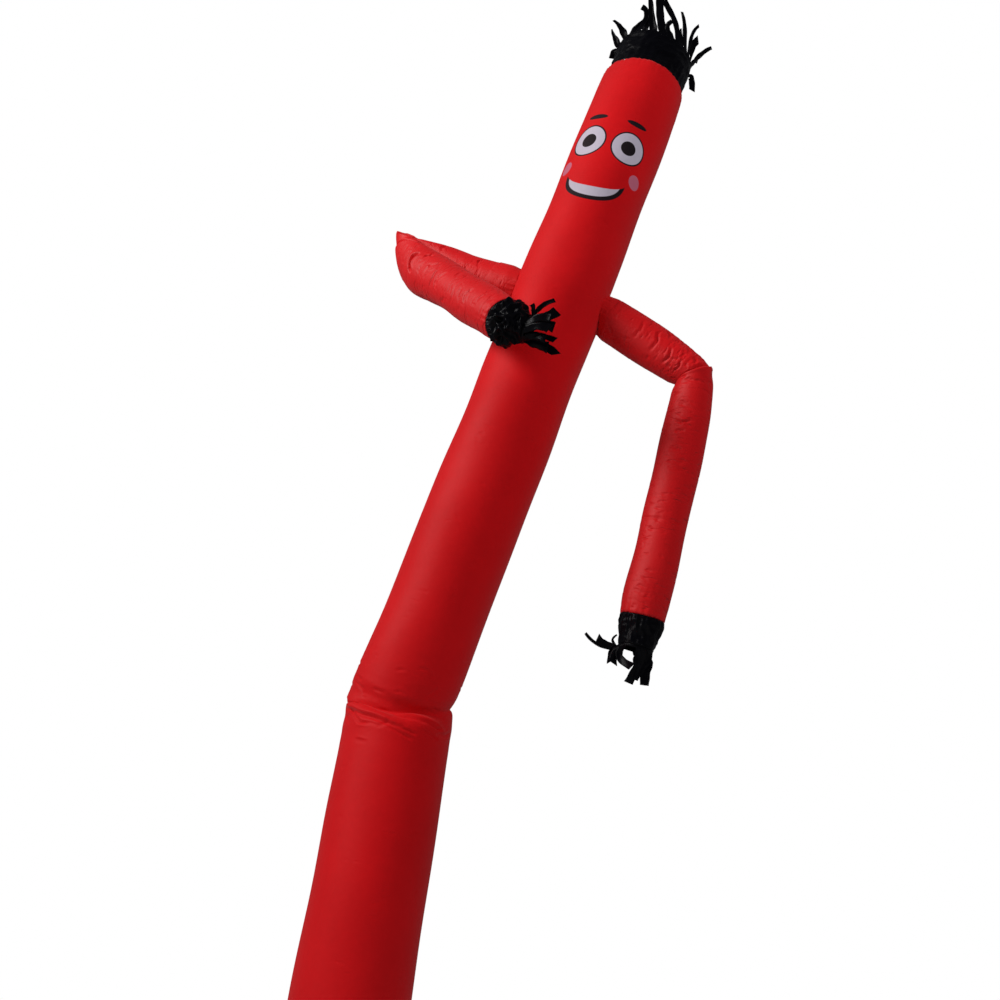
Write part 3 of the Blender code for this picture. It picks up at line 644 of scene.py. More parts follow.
def tube_wrinkles(grid, along, crease_row, sizes):
    """How far each point of the tube moves outwards."""
    azimuth = column_angles(BODY_COLUMNS)[None, :]
    around = np.radians(azimuth)
    girth = math.tau * sizes.foot_radius
    from_crease = np.abs(along - along[crease_row - 1][None, :])
    moved, _ = unrest(around, along, TUBE_SEED, np.exp(-(from_crease / CREASE_REACH) ** 1.3), TUBE_UNREST)
    for fold in (*BODY_FOLDS, *scattered_folds(*BODY_SCATTER)):
        moved += fold_depth(around / math.tau * girth, along, girth, fold)
    for ledge in WAIST_LEDGES:
        moved += ledge_height(azimuth, along, ledge)
    moved += sizes.cloth * (1 - soft_step(sizes.hem - 0.002, sizes.hem + 0.002, along))
    to_hair = WAIST_HEIGHT + HEAD_LENGTH - along
    moved += gathers(around, to_hair, TUBE_SEED + 4, sizes.pucker * 0.8, 0.03)
    for seed, arm in ((TUBE_SEED + 5, FOLDED), (TUBE_SEED + 6, HANGING)):
        ring, angle, same_side = beside_sleeve(grid, arm)
        beyond = np.maximum(ring - (sizes.arm_radius - ROOT_PINCH), 0)
        pull = waves(angle, beyond, seed, (5, 12), (0.3, 0.9))
        moved += same_side * np.exp(-beyond / PULL_REACH) * (PULL_LIFT + PULL_DEPTH * creased(pull, 0.8))
    rows = np.arange(len(grid))[:, None]
    clear = np.clip(np.abs(rows - crease_row - 0.5) / 5, 0, 1)
    return moved * (clear + (1 - clear) * looked_up(CREASE_SOFTNESS, azimuth))


def sleeve_holes(sizes):
    """A trimmer that cuts the round holes, inside the sleeves' seams, into the tube."""
    radius = sizes.arm_radius - ROOT_PINCH - HOLE_MARGIN

    def cut(piece):
        shape = bmesh.new()
        shape.from_mesh(piece.data)
        for arm in (FOLDED, HANGING):
            axis = (arm.elbow - arm.shoulder).normalized()

            def away(vert):
                gap = vert.co - arm.shoulder
                depth = gap.dot(axis)
                return gap - axis * depth, abs(depth)

            def in_hole(vert):
                flat, depth = away(vert)
                return flat.length < radius and depth < SHOULDER_DEPTH

            inside = [face for face in shape.faces if all(in_hole(vert) for vert in face.verts)]
            edge = {vert for face in inside for vert in face.verts}
            bmesh.ops.delete(shape, geom=inside, context="FACES")
            for vert in edge:
                if vert.is_valid and vert.link_faces:
                    flat, _ = away(vert)
                    vert.co += flat.normalized() * (radius - flat.length)
        loose = [vert for vert in shape.verts if not vert.link_faces]
        bmesh.ops.delete(shape, geom=loose, context="VERTS")
        shape.to_mesh(piece.data)
        shape.free()

    return cut


# --- sleeves ---
def limb_ring(arm, toward, other, distance, travel, radius):
    """Middle and half axes of one ring of a sleeve, at a distance from the elbow along a limb."""
    inward = (other - toward * other.dot(toward)).normalized()
    bisector = (toward + other).normalized()
    flat = 1 - math.sin(math.pi / 2 * min(distance / arm.reach, 1.0))
    half_width = radius + (arm.half_width - radius) * flat
    half_thickness = radius + (arm.half_thickness - radius) * flat
    normal = (inward.cross(toward) * travel).normalized()
    fold = arm.fold if arm.fold.dot(normal) > 0 else -arm.fold
    wide = normal.lerp(fold, flat).normalized()
    thick = inward.lerp(bisector, max(0.0, 1 - distance / ELBOW_TURN))
    thick = (thick - wide * thick.dot(wide)).normalized()
    inset = arm.inset * flat
    if arm.lies_flat and distance > 0:
        room = math.tan(toward.angle(other) / 2) * distance - LIMB_CLEARANCE
        inset = min(inset, room - half_thickness)
    centre = arm.elbow + toward * distance + (bisector if distance == 0 else inward) * inset
    return centre, wide * half_width, thick * half_thickness


def ring_points(ring, angles, pressed=0.0, tuck=0.0):
    """Points of an oval ring. Where it is pressed, its inner half is flat against the other limb. A tuck draws
    in its far side."""
    centre, wide, thick = (np.array(part) for part in ring)
    inward = np.sin(angles)
    inward = inward + (1 - 2 * np.maximum(0, -inward) - inward) * pressed
    across = np.cos(angles)
    across = np.where(across < 0, across * (1 - tuck / np.linalg.norm(wide)), across)
    return centre + np.multiply.outer(across, wide) + np.multiply.outer(inward, thick)


def seam_reach(points, axis, torso_radius):
    """How far each point lies from the leaning tube's surface, measured along a sleeve's direction."""
    lean = np.array(LEAN)
    start = points - np.array(UP) * WAIST_HEIGHT
    start = start - np.multiply.outer(start @ lean, lean)
    step = axis - lean * (axis @ lean)
    a = step @ step
    b = 2 * start @ step
    c = (start * start).sum(axis=1) - torso_radius ** 2
    return (-b + np.sqrt(np.maximum(b * b - 4 * a * c, 0))) / (2 * a)


def sleeve_grid(arm, sizes):
    """A sleeve's outer surface before its wrinkles, each point's place along it, and its signed distance from
    the elbow, negative on the upper arm."""
    upper, fore = arm.shoulder - arm.elbow, arm.wrist - arm.elbow
    up, down = upper.normalized(), fore.normalized()
    angles = np.radians(column_angles(ARM_COLUMNS))
    radius = sizes.arm_radius
    root = ring_points(limb_ring(arm, up, down, upper.length, -1, radius - ROOT_PINCH), angles)
    seam = seam_reach(root, -np.array(up), sizes.torso_radius + SEAM_LIFT)
    points, from_elbow = [], []
    for step in spaced((0.0, 0.03, 0.005), (0.03, ROOT_REACH, 0.009)):
        share = step / ROOT_REACH
        pinch = ROOT_PINCH * (1 - soft_step(0.0, 0.5, share)) + ROOT_LIP * math.exp(-step / LIP_REACH)
        flat = ring_points(limb_ring(arm, up, down, upper.length - step, -1, radius - pinch), angles)
        slide = seam * (1 - share)
        points.append(flat - np.multiply.outer(slide, np.array(up)))
        from_elbow.append(-(upper.length - step) + slide)
    signed = np.concatenate([
        spaced((-(upper.length - ROOT_REACH) + 0.006, -0.16, 0.0074), (-0.16, 0.0, 0.005)),
        spaced((0.005, 0.42, 0.005), (0.42, fore.length, 0.007))])
    for place in signed:
        to_wrist = fore.length - place
        pinch = WRIST_PINCH * (1 - soft_step(0.0, 0.08, to_wrist)) + WRIST_LIP * math.exp(-to_wrist / LIP_REACH)
        toward, other, travel = (up, down, -1) if place < 0 else (down, up, 1)
        pressed = math.exp(-(place / PRESSED_REACH) ** 2) if arm.lies_flat else 0.0
        ring = limb_ring(arm, toward, other, abs(place), travel, radius - pinch)
        points.append(ring_points(ring, angles, pressed, looked_up(TUCK, place) if arm.lies_flat else 0.0))
        from_elbow.append(np.full(ARM_COLUMNS, place))
    from_elbow = np.array(from_elbow)
    return np.array(points), from_elbow + upper.length, from_elbow


def sleeve_wrinkles(along, from_elbow, folds, seed, sizes):
    """How far each point of a sleeve moves outwards."""
    around = np.radians(column_angles(ARM_COLUMNS))[None, :]
    girth = math.tau * sizes.arm_radius
    from_root = along - along[0][None, :]
    to_wrist = along[-1][None, :] - along
    near = np.exp(-(np.abs(from_elbow) / ELBOW_REACH) ** 1.2)
    moved, shown = unrest(around, along, seed, near, SLEEVE_UNREST)
    spread = 0.35 + 0.65 * np.exp(-from_root / 0.2)
    moved += SLEEVE_CREASES.depth * spread * shown * crease_field(around, along, seed + 4, SLEEVE_CREASES)
    moved += gathers(around, from_root, seed + 5, sizes.pucker, 0.030, (7, 17))
    moved += gathers(around, to_wrist, seed + 6, sizes.pucker * 0.8, 0.028, (7, 17))
    for fold in folds:
        moved += fold_depth(around / math.tau * girth, along, girth, fold)
    return moved


def elbow_lip(normals, from_elbow, front, depth):
    """The forearm's end stands over the upper arm's along the mitre, on the side that front looks to."""
    inward = np.sin(np.radians(column_angles(ARM_COLUMNS)))[None, :]
    shown = soft_step(-0.1, 0.7, normals @ np.array(front)) * (0.15 + 0.85 * soft_step(-0.85, -0.35, inward))
    trough = -depth * bell(from_elbow, 0.011, -0.013)
    rim = 0.45 * depth * bell(from_elbow, 0.012, 0.012)
    return shown * (trough + rim)


def folded_flat(moved, along, from_elbow):
    """A folded sleeve's wrinkles: none between its limbs, and the forearm's full end on top."""
    azimuth = column_angles(ARM_COLUMNS)
    inner = soft_step(0.1, 0.5, np.sin(np.radians(azimuth)))[None, :]
    full = soft_step(-0.008, 0.016, along - looked_up(FOLDED_STEP, azimuth))
    return moved * (1 - inner * bell(from_elbow, SMOOTH_REACH)) + STEP_HEIGHT * full * bell(from_elbow, 0.5)


# --- cuffs, hair band and fringes ---
def cuff_frame(cuff, share):
    """Middle, side, front and axis directions of a ring on a cuff's bending middle line."""
    a, b, c = cuff.start, cuff.bend, cuff.end
    centre = a.lerp(b, share).lerp(b.lerp(c, share), share)
    axis = (b - a).lerp(c - b, share).normalized()
    side = (cuff.side - axis * cuff.side.dot(axis)).normalized()
    return centre, side, axis.cross(side), axis


def cuff_grid(cuff, rows):
    """A cuff's outer surface before its wrinkles, each point's place along it, and its columns' angles."""
    angles = np.radians(column_angles(CUFF_COLUMNS))
    places, widths, thicknesses = zip(*cuff.rings)
    shares = np.concatenate([[0.0, 0.006, 0.014, 0.026], np.linspace(0.045, 1.0, rows)])
    length = (cuff.bend - cuff.start).length + (cuff.end - cuff.bend).length
    points = []
    for share in shares:
        centre, side, front, _ = cuff_frame(cuff, share)
        lip = CUFF_LIP * math.exp(-share * length / CUFF_LIP)
        wide = side * (np.interp(share, places, widths) - lip)
        thick = front * (np.interp(share, places, thicknesses) - lip)
        points.append(ring_points((centre, wide, thick), angles))
    return np.array(points), np.repeat(shares[:, None] * length, CUFF_COLUMNS, axis=1), angles[None, :]


def strip_path(strip, share):
    """A strip's middle line and its direction, as (rise, reach, drift), on a curve through its three points."""
    control = 2 * strip.middle - strip.tip / 2
    place = 2 * share * (1 - share) * control + share * share * strip.tip
    return place, control.lerp(strip.tip - control, share)


def backing_columns(spans):
    """Azimuths of the corners of a backing ring between strips that span it, and where each strip's begin."""
    columns, roots = [], []
    for (start, end), (following, _) in zip(spans, spans[1:] + [(spans[0][0] + 360, None)]):
        roots.append(len(columns))
        columns.extend(start + (end - start) * k / STRIP_PARTS for k in range(STRIP_PARTS + 1))
        parts = max(1, math.ceil((following - end) / RING_STEP))
        columns.extend(end + (following - end) * k / parts for k in range(1, parts))
    return columns, roots


def fringe(name, cuff, hanging, seed, fullness, cloth):
    """A narrow ring of cloth with cut strips that hang from its edge, all one sheet; its flat size and area."""
    centre, side, front, axis = cuff_frame(cuff, 1.0)
    _, half_width, half_thickness = cuff.rings[-1]
    size = (half_width + half_thickness) / 2

    def on_ring(azimuth, height):
        angle = math.radians(azimuth)
        out = side * math.sin(angle) * (half_width - FRINGE_INSET)
        out -= front * math.cos(angle) * (half_thickness - FRINGE_INSET)
        return centre + axis * height + out

    halves = [math.degrees(strip.root_width / 2 / size) for strip in hanging]
    columns, roots = backing_columns([(s.azimuth - half, s.azimuth + half) for s, half in zip(hanging, halves)])
    heights = (-FRINGE_OVERLAP, BACKING / 2, BACKING)
    points = [tuple(on_ring(azimuth, height)) for height in heights for azimuth in columns]
    count = len(columns)
    faces, flat = [], []
    for r, (low, high) in enumerate(zip(heights, heights[1:])):
        for c in range(count):
            n = (c + 1) % count
            faces.append((r * count + c, r * count + n, (r + 1) * count + n, (r + 1) * count + c))
            u0 = math.radians(columns[c]) * size
            u1 = math.radians(columns[n] + (360 if n == 0 else 0)) * size
            flat.append(((u0, low), (u1, low), (u1, high), (u0, high)))
    top = (len(heights) - 1) * count
    for strip, root in zip(hanging, roots):
        draw = random.Random(seed * 1000 + strip.azimuth)
        below = [top + (root + k) % count for k in range(STRIP_PARTS + 1)]
        out = (on_ring(strip.azimuth, 0.0) - centre).normalized()
        across = drift = axis.cross(out)
        start = on_ring(strip.azimuth, BACKING)
        reach = strip.tip.length
        turn = math.radians(strip.twist) / STRIP_ROWS
        wobble, phase = draw.uniform(0.02, 0.05) * reach, draw.uniform(0, math.tau)
        slant, curl = draw.uniform(-0.35, 0.35), draw.uniform(-0.28, 0.28)
        narrow, notch = draw.uniform(0.75, 1.0), draw.uniform(0, math.tau)
        left = math.radians(strip.azimuth) * size
        for step in range(1, STRIP_ROWS + 1):
            share = step / STRIP_ROWS
            place, direction = strip_path(strip, share)
            travel = (axis * direction[0] + out * direction[1] + drift * direction[2]).normalized()
            across = (across - travel * across.dot(travel)).normalized()
            across = (Matrix.Rotation(turn, 3, travel) @ across).normalized()
            # Unless it points to the front itself, the strip also turns its flat side to it.
            shown = travel.cross(TOWARDS_FRONT)
            if shown.length > 0.2:
                shown = shown.normalized() * (1 if shown.dot(across) > 0 else -1)
                across = across.lerp(shown, 0.75 * min(1.0, share * 1.5)).normalized()
            normal = across.cross(travel)
            sway = math.sin(phase + share * 7.0) * wobble * share
            middle = start + axis * place[0] + out * place[1] + drift * place[2] + normal * sway
            width = strip.root_width + (strip.tip_width - strip.root_width) * share
            width *= 1 + (fullness - 1) * min(1.0, share * 4)
            width *= 1 - (1 - narrow) * math.sin(math.pi * share) + 0.05 * math.sin(notch + share * 19)
            for k in range(STRIP_PARTS + 1):
                t = k / STRIP_PARTS * 2 - 1
                cup = normal * (curl * width * (t * t - 0.5) * math.sin(math.pi * share) ** 0.5)
                cut = travel * (slant * width * t * share ** 6) if step > STRIP_ROWS - 3 else Vector()
                points.append(tuple(middle + across * (width * t / 2) + cup + cut))
            above = list(range(len(points) - STRIP_PARTS - 1, len(points)))
            v0, v1 = BACKING + reach * (share - 1 / STRIP_ROWS), BACKING + reach * share
            for k in range(STRIP_PARTS):
                faces.append((below[k], below[k + 1], above[k + 1], above[k]))
                u0, u1 = (left + (q / STRIP_PARTS - 0.5) * strip.root_width for q in (k, k + 1))
                flat.append(((u0, v0), (u1, v0), (u1, v1), (u0, v1)))
            below = above
    piece = piece_from(name, points, faces, flat, cloth)
    width = math.tau * size
    longest = BACKING + max(strip.tip.length for strip in hanging)
    strip_area = sum(strip.tip.length * (strip.root_width + strip.tip_width) / 2 for strip in hanging)
    return piece, (width, longest), width * BACKING + strip_area


# --- materials ---
class Wiring:
    """Adds nodes to a tree and joins them."""

    def __init__(self, tree):
        self.tree = tree

    def node(self, kind, *values, **settings):
        """A new node with its settings, and what feeds its first inputs."""
        made = self.tree.nodes.new(kind if kind.startswith("Node") else f"ShaderNode{kind}")
        for key, value in settings.items():
            setattr(made, key, value)
        for socket, value in zip(made.inputs, values):
            self.feed(socket, value)
        return made

    def feed(self, socket, value):
        if isinstance(value, bpy.types.NodeSocket):
            self.tree.links.new(value, socket)
        else:
            socket.default_value = value

    def fill(self, node, **values):
        """Feeds a node's inputs by their labels."""
        for label, value in values.items():
            self.feed(node.inputs[label.replace("_", " ")], value)
        return node

    def math(self, operation, *values, clamp=False):
        return self.node("Math", *values, operation=operation, use_clamp=clamp).outputs[0]

    def plus(self, first, second):
        return self.math("ADD", first, second)

    def minus(self, first, second, clamp=False):
        return self.math("SUBTRACT", first, second, clamp=clamp)

    def times(self, first, second, clamp=False):
        return self.math("MULTIPLY", first, second, clamp=clamp)

    def over(self, first, second):
        return self.math("DIVIDE", first, second)

    def vector_math(self, operation, *values):
        made = self.node("VectorMath", *values, operation=operation)
        return made.outputs["Value" if operation == "LENGTH" else "Vector"]

    def split(self, vector):
        """The first two parts of a vector."""
        return self.node("SeparateXYZ", vector).outputs[:2]

    def noise(self, vector, scale, detail=2.0, roughness=0.5):
        made = self.node("TexNoise")
        return self.fill(made, Vector=vector, Scale=scale, Detail=detail, Roughness=roughness).outputs["Fac"]

    def mix(self, share, first, second):
        made = self.node("Mix", share, data_type="RGBA")
        colours = [socket for socket in made.inputs if socket.type == "RGBA"]
        for socket, value in zip(colours, (first, second)):
            self.feed(socket, value)
        return next(socket for socket in made.outputs if socket.type == "RGBA")

    def group(self, name, **values):
        tree = bpy.data.node_groups.get(name) or GROUPS[name](name)
        return self.fill(self.node("Group", node_tree=tree), **values).outputs[0]


def new_group(name, output, **inputs):
    """A node group over the flat cut: the wiring to fill it, its inputs and the socket of its only output."""
    tree = bpy.data.node_groups.new(name, "ShaderNodeTree")
    for label, value in {"Flat_cut": (0.0, 0.0, 0.0), **inputs}.items():
        kind = "Float" if isinstance(value, float) else "Vector" if len(value) == 3 else "Color"
        socket = tree.interface.new_socket(
            label.replace("_", " "), in_out="INPUT", socket_type=f"NodeSocket{kind}")
        socket.default_value = value
    kind = "Color" if output == "Colour" else "Float"
    tree.interface.new_socket(output, in_out="OUTPUT", socket_type=f"NodeSocket{kind}")
    w = Wiring(tree)
    return w, w.node("NodeGroupInput").outputs, w.node("NodeGroupOutput").inputs[0]


def weave_group(name):
    """Height of the nylon's threads, in metres."""
    w, given, out = new_group(name, "Height", Pitch=0.0014, Depth=0.00004)
    rate = w.over(math.tau, given["Pitch"])
    warp, weft = (w.math("SINE", w.times(part, rate)) for part in w.split(given["Flat cut"]))
    w.feed(out, w.times(w.plus(warp, weft), given["Depth"]))
    return w.tree


def crinkle_group(name):
    """Height of the short crosswise crinkles that lie in patches on blown-up cloth, in metres."""
    w, given, out = new_group(name, "Height", Pitch=0.022, Patches=0.5, Depth=0.002)
    stretched = w.vector_math("MULTIPLY", given["Flat cut"], (0.42, 1.0, 1.0))
    field = w.noise(w.vector_math("DIVIDE", stretched, given["Pitch"]), 1.0, 1.5, 0.5)
    dent = w.math("POWER", w.times(w.minus(field, 0.5), 4.5, clamp=True), 1.3)
    patch = w.noise(given["Flat cut"], 7.0, 2.0, 0.6)
    shown = w.times(w.minus(patch, given["Patches"]), 9.0, clamp=True)
    w.feed(out, w.times(w.times(dent, shown), w.times(given["Depth"], -1.0)))
    return w.tree


def slack_group(name):
    """Height of the soft uneven waves in blown-up cloth, in metres."""
    w, given, out = new_group(name, "Height", Depth=0.0012)
    w.feed(out, w.times(w.noise(given["Flat cut"], 13.0, 3.0, 0.55), given["Depth"]))
    return w.tree


def tone_group(name):
    """The cloth's colour with faint lighter and darker places, and dust near its lower end."""
    w, given, out = new_group(
        name, "Colour", Colour=(0.5, 0.01, 0.01, 1.0), Dust=(0.30, 0.24, 0.20, 1.0), Dust_amount=0.10)
    broad = w.times(w.noise(given["Flat cut"], 2.3, 3.0, 0.6), 0.34)
    fine = w.times(w.noise(given["Flat cut"], 38.0, 2.0, 0.6), 0.10)
    shaded = w.vector_math("SCALE", given["Colour"])
    w.fill(shaded.node, Scale=w.plus(w.plus(broad, fine), 0.78))
    _, place = w.split(given["Flat cut"])
    low = w.minus(1.0, w.over(place, 0.5), clamp=True)
    specks = w.times(w.times(low, low), w.noise(given["Flat cut"], 23.0, 4.0, 0.7))
    w.feed(out, w.mix(w.times(specks, given["Dust amount"]), shaded, given["Dust"]))
    return w.tree


def stitch_group(name):
    """Mask of one row of lockstitches that runs around a piece."""
    w, given, out = new_group(name, "Mask", Place=0.0, Pitch=0.0045, Half_width=0.0007)
    around, place = w.split(given["Flat cut"])
    away = w.math("ABSOLUTE", w.minus(place, given["Place"]))
    row = w.minus(1.5, w.over(away, given["Half width"]), clamp=True)
    dash = w.math("FRACT", w.over(around, given["Pitch"]))
    w.feed(out, w.times(row, w.math("LESS_THAN", dash, 0.7)))
    return w.tree


def motif_group(name):
    """Mask of one printed disc."""
    w, given, out = new_group(name, "Mask", Middle=(0.0, 0.0, 0.0), Half_size=(1.0, 1.0, 1.0))
    away = w.vector_math("SUBTRACT", given["Flat cut"], given["Middle"])
    reach = w.vector_math("LENGTH", w.vector_math("DIVIDE", away, given["Half size"]))
    w.feed(out, w.times(w.minus(1.0, reach), 60.0, clamp=True))
    return w.tree


GROUPS = {
    "nylon weave": weave_group, "crinkles": crinkle_group, "slack": slack_group, "cloth tone": tone_group,
    "stitch row": stitch_group, "printed disc": motif_group,
}
COARSE, FINE = 0.034, 0.018      # pitches of the two layers of crinkles
THREAD_SHADE = 0.55              # how much of a stitch is seen as a darker thread
THREAD_HEIGHT = 0.0005


def nylon(name, colour, finish, stitches=(), motifs=()):
    """A satin nylon cloth. finish holds its roughness, sheen and crinkles; stitches are places along it."""
    material = bpy.data.materials.new(name)
    material.use_nodes = True
    w = Wiring(material.node_tree)
    flat = w.node("UVMap", uv_map="cloth").outputs[0]
    painted = w.group("cloth tone", Flat_cut=flat, Colour=(*colour, 1.0), Dust_amount=finish["dust"])
    colours = bpy.context.scene.dancer_colours
    inks = {
        "cloth": colours.red, "light": colours.light_ink, "dark": colours.dark_ink, "pink": colours.pink_ink}
    for motif in motifs:
        middle = (FACE_PLACE[0] + motif.around, FACE_PLACE[1] + motif.along, 0.0)
        half_size = (motif.half_width, motif.half_height, 1.0)
        mask = w.group("printed disc", Flat_cut=flat, Middle=middle, Half_size=half_size)
        painted = w.mix(mask, painted, w.group("cloth tone", Flat_cut=flat, Colour=(*inks[motif.ink], 1.0)))
    threads = w.group("nylon weave", Flat_cut=flat)
    height = w.plus(threads, w.group("slack", Flat_cut=flat, Depth=finish["slack"]))
    for pitch in (COARSE, FINE):
        # Shifted by whole crinkles, so that no layer repeats the other.
        shifted = w.vector_math("ADD", flat, (pitch * 33, pitch * 51, 0.0))
        height = w.plus(height, w.group(
            "crinkles", Flat_cut=shifted, Pitch=pitch, Patches=finish["patches"],
            Depth=finish["crinkle"] * pitch / COARSE))
    for place in stitches:
        mask = w.group("stitch row", Flat_cut=flat, Place=place)
        painted = w.mix(w.times(mask, THREAD_SHADE), painted, (*(part * 0.35 for part in colour), 1.0))
        height = w.plus(height, w.times(mask, THREAD_HEIGHT))
    worn = w.times(w.noise(flat, 6.0, 3.0, 0.6), 0.16)
    bump = w.fill(w.node("Bump"), Distance=1.0, Strength=1.0, Height=height)
    w.fill(
        material.node_tree.nodes["Principled BSDF"], Base_Color=painted,
        Roughness=w.plus(worn, finish["roughness"] - 0.08), Normal=bump.outputs["Normal"],
        Sheen_Weight=finish["sheen"], Sheen_Roughness=0.45,
        Sheen_Tint=(*(part * 0.8 + finish["veil"] for part in colour), 1.0),
        Specular_IOR_Level=finish["specular"])
    return material


TUBE_FINISH = {
    "roughness": 0.52, "sheen": 0.22, "specular": 0.12, "crinkle": 0.0016, "slack": 0.0010, "patches": 0.56,
    "dust": 0.10, "veil": 0.30,
}
SLEEVE_FINISH = {
    **TUBE_FINISH, "sheen": 0.12, "specular": 0.28, "crinkle": 0.0062, "patches": 0.46, "dust": 0.02}
BLACK_FINISH = {
    "roughness": 0.30, "sheen": 0.10, "specular": 0.085, "crinkle": 0.0012, "slack": 0.0012, "patches": 0.50,
    "dust": 0.004, "veil": 0.0,
}


# --- operators ---
class DANCER_OT_tube(bpy.types.Operator):
    """Sew the tall tube, folded back at the waist, with its printed face"""
    bl_idname = "dancer.tube"
    bl_label = "Sew the tube"

    def execute(self, context):
        sizes, colours = context.scene.dancer_sizes, context.scene.dancer_colours
        grid, along, crease_row = tube_grid(sizes)
        grid = grid + facing_out(grid) * tube_wrinkles(grid, along, crease_row, sizes)[..., None]
        girth, top = math.tau * sizes.foot_radius, WAIST_HEIGHT + HEAD_LENGTH
        piece = sewn_tube("tube_cloth", grid, girth, along, sizes.cloth, sleeve_holes(sizes))
        stitches = (EDGE_MARGIN, sizes.hem, top - RED_MARGIN)
        red = nylon("red_nylon_printed", colours.red, TUBE_FINISH, stitches, FACE)
        hand_over(piece, red, "body_tube")
        return {"FINISHED"}


class DANCER_OT_sleeves(bpy.types.Operator):
    """Sew the folded and the hanging sleeve"""
    bl_idname = "dancer.sleeves"
    bl_label = "Sew the sleeves"

    def execute(self, context):
        sizes, colours = context.scene.dancer_sizes, context.scene.dancer_colours
        for name, arm, folds, scatters, seed, front, depth in (
            ("folded", FOLDED, FOLDED_FOLDS, FOLDED_SCATTER, 31, (-0.3, -0.8, 0.4), 0.006),
            ("hanging", HANGING, HANGING_FOLDS, HANGING_SCATTER, 41, (0.0, -1.0, 0.1), 0.016),
        ):
            grid, along, from_elbow = sleeve_grid(arm, sizes)
            normals = facing_out(grid)
            moved = sleeve_wrinkles(along, from_elbow, (*folds, *scattered_folds(*scatters)), seed, sizes)
            moved += elbow_lip(normals, from_elbow, front, depth)
            if arm.lies_flat:
                moved = folded_flat(moved, along, from_elbow)
            grid = grid + normals * moved[..., None]
            girth = math.tau * sizes.arm_radius
            piece = sewn_tube(f"sleeve_{name}_cloth", grid, girth, along, sizes.cloth)
            root, wrist = float(along[0].mean()), float(along[-1].mean())
            red = nylon(f"red_nylon_{name}", colours.red, SLEEVE_FINISH, (wrist - RED_MARGIN,))
            hand_over(piece, red, f"sleeve_{name}")
        return {"FINISHED"}


class DANCER_OT_cuffs(bpy.types.Operator):
    """Sew the two black cuffs and the hair band"""
    bl_idname = "dancer.cuffs"
    bl_label = "Sew the cuffs and the hair band"

    def execute(self, context):
        sizes, colours = context.scene.dancer_sizes, context.scene.dancer_colours
        for node, cuff, rows, seed, crumple, ripple, host in (
            ("cuff_folded", FOLDED_CUFF, 64, 51, 1.6, 0.6, "sleeve_folded_cloth"),
            ("cuff_hanging", HANGING_CUFF, 40, 52, 0.45, 1.2, "sleeve_hanging_cloth"),
            ("hair_band", HAIR_BAND, 44, 53, 0.35, 2.6, "tube_cloth"),
        ):
            grid, along, around = cuff_grid(cuff, rows)
            length = float(along[-1, 0])
            # Large facets, small ones and ripples, all held at the seams.
            free = (1 - np.exp(-along / 0.012)) * (1 - np.exp((along - length) / 0.008))
            moved = sizes.crumple * crumple * free * (0.75 + crumples(grid, seed, (0.055, 0.12), 9))
            moved += 0.5 * sizes.crumple * crumple * free * (0.7 + crumples(grid, seed + 10, (0.028, 0.055), 8))
            moved += gathers(around, along, seed + 20, sizes.pucker * ripple, 0.06, (6, 18)) * free
            grid = grid + facing_out(grid) * moved[..., None]
            girth = math.tau * cuff.rings[0][1]
            piece = sewn_tube(f"{node}_cloth", grid, girth, along, sizes.cloth)
            stitches = (BLACK_MARGIN, length - BLACK_MARGIN)
            black = nylon(f"black_nylon_{node}", colours.black, BLACK_FINISH, stitches)
            hand_over(piece, black, node)
        return {"FINISHED"}


class DANCER_OT_fringes(bpy.types.Operator):
    """Cut the hair and the fingers"""
    bl_idname = "dancer.fringes"
    bl_label = "Cut the fringes"

    def execute(self, context):
        sizes, colours = context.scene.dancer_sizes, context.scene.dancer_colours
        for node, cuff, hanging, seed, fullness, host in (
            ("fringe_folded", FOLDED_CUFF, FOLDED_FINGERS, 61, 1.3, "cuff_folded_cloth"),
            ("fringe_hanging", HANGING_CUFF, HANGING_FINGERS, 62, 1.35, "cuff_hanging_cloth"),
            ("fringe_hair", HAIR_BAND, HAIR, 63, 1.1, "hair_band_cloth"),
        ):
            piece, flat, area = fringe(f"{node}_cloth", cuff, hanging, seed, fullness, sizes.cloth)
            black = nylon(f"black_nylon_{node}", colours.black, BLACK_FINISH, (EDGE_MARGIN,))
            hand_over(piece, black, node)
        return {"FINISHED"}


CAMERA_PLACE = Vector((0.295, -4.2435, 0.90))
CAMERA_RIGHT = Vector((0.9901, -0.0643, 0.1245))
CAMERA_UP = Vector((-0.1402, -0.4545, 0.8796))
CAMERA_BACK = Vector((0.0, -0.8884, -0.4590))
Lamp = namedtuple("Lamp", "name place target size power colour shines")
LAMPS = table(
    Lamp,
    ("key_softbox", (-6.0, -3.3, 6.0), (0.3, -0.3, 5.4), 2.6, 430.0, (1.0, 0.98, 0.97), True),
    ("fill_softbox", (3.9, -5.0, 6.3), (0.6, -0.4, 4.8), 3.0, 136.0, (0.95, 0.97, 1.0), False),
)
PALE = 0.76              # the floor's colour
SKY_SEEN = (1.0, 1.0, 1.0, 1.0)
SKY_CAST = (0.95, 0.97, 1.0, 1.0)
SKY_STRENGTH = 0.10      # of the light that it casts


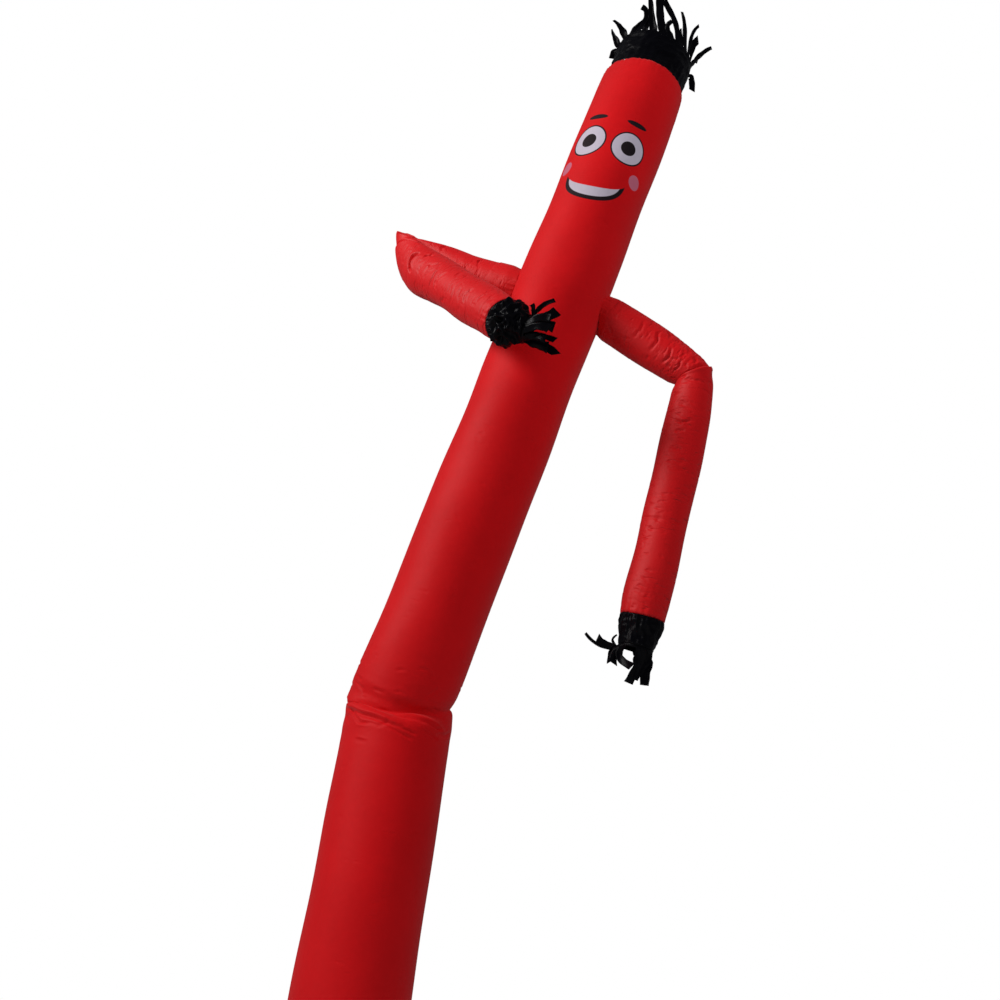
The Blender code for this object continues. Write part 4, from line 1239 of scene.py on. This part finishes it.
class DANCER_OT_stage(bpy.types.Operator):
    """Lay the pale floor and set up the soft lamps and the camera"""
    bl_idname = "dancer.stage"
    bl_label = "Set up the stage"

    def execute(self, context):
        bpy.ops.object.select_all(action="DESELECT")
        bpy.ops.mesh.primitive_plane_add(size=16.0)
        floor = context.object
        floor.name = "floor"
        pale = bpy.data.materials.new("pale_floor")
        pale.use_nodes = True
        w = Wiring(pale.node_tree)
        place = w.node("TexCoord").outputs["Object"]
        level = w.plus(w.times(w.noise(place, 0.7), 0.04), PALE - 0.02)
        grey = w.node("CombineColor", level, level, level).outputs[0]
        w.fill(pale.node_tree.nodes["Principled BSDF"], Base_Color=grey, Roughness=0.85)
        floor.data.materials.append(pale)
        for lamp in LAMPS:
            bpy.ops.object.light_add(type="AREA", location=lamp.place)
            made = context.object
            made.name = lamp.name
            aim = Vector(lamp.target) - Vector(lamp.place)
            made.rotation_euler = aim.to_track_quat("-Z", "Y").to_euler()
            made.data.size = lamp.size
            made.data.energy = lamp.power
            made.data.color = lamp.colour
            made.visible_camera = False
            made.visible_glossy = lamp.shines
        world = bpy.data.worlds.new("pale_studio")
        world.use_nodes = True
        context.scene.world = world
        w = Wiring(world.node_tree)
        seen = w.fill(world.node_tree.nodes["Background"], Color=SKY_SEEN, Strength=1.0)
        cast = w.node("Background", SKY_CAST, SKY_STRENGTH)
        ray = w.node("LightPath").outputs["Is Camera Ray"]
        mixed = w.node("MixShader", ray, cast.outputs[0], seen.outputs[0])
        w.feed(world.node_tree.nodes["World Output"].inputs[0], mixed.outputs[0])
        bpy.ops.object.camera_add(location=CAMERA_PLACE)
        camera = context.object
        turn = Matrix((CAMERA_RIGHT, CAMERA_UP, CAMERA_BACK)).transposed()
        camera.rotation_euler = turn.to_euler()
        camera.data.lens = 36.0
        camera.data.sensor_width = 36.0
        camera.data.clip_end = 200.0
        context.scene.camera = camera
        context.scene.view_settings.view_transform = "Standard"
        return {"FINISHED"}


STEPS = (DANCER_OT_stage, DANCER_OT_tube, DANCER_OT_sleeves, DANCER_OT_cuffs, DANCER_OT_fringes)


class DANCER_PT_panel(bpy.types.Panel):
    """Sizes, colours and the steps of the making"""
    bl_idname = "DANCER_PT_panel"
    bl_label = "Air dancer"
    bl_space_type = "VIEW_3D"
    bl_region_type = "UI"
    bl_category = "Air dancer"

    def draw(self, context):
        for group in (context.scene.dancer_sizes, context.scene.dancer_colours):
            box = self.layout.box()
            for key in group.__annotations__:
                box.prop(group, key)
        for step in STEPS:
            self.layout.operator(step.bl_idname)


CLASSES = (DancerSizes, DancerColours, *STEPS, DANCER_PT_panel)


def register():
    for made in CLASSES:
        bpy.utils.register_class(made)
    bpy.types.Scene.dancer_sizes = bpy.props.PointerProperty(type=DancerSizes)
    bpy.types.Scene.dancer_colours = bpy.props.PointerProperty(type=DancerColours)


def unregister():
    del bpy.types.Scene.dancer_colours
    del bpy.types.Scene.dancer_sizes
    for made in reversed(CLASSES):
        bpy.utils.unregister_class(made)


def main():
    register()
    bpy.ops.dancer.stage()
    bpy.ops.dancer.tube()
    bpy.ops.dancer.sleeves()
    bpy.ops.dancer.cuffs()
    bpy.ops.dancer.fringes()


if __name__ == "__main__":
    main()
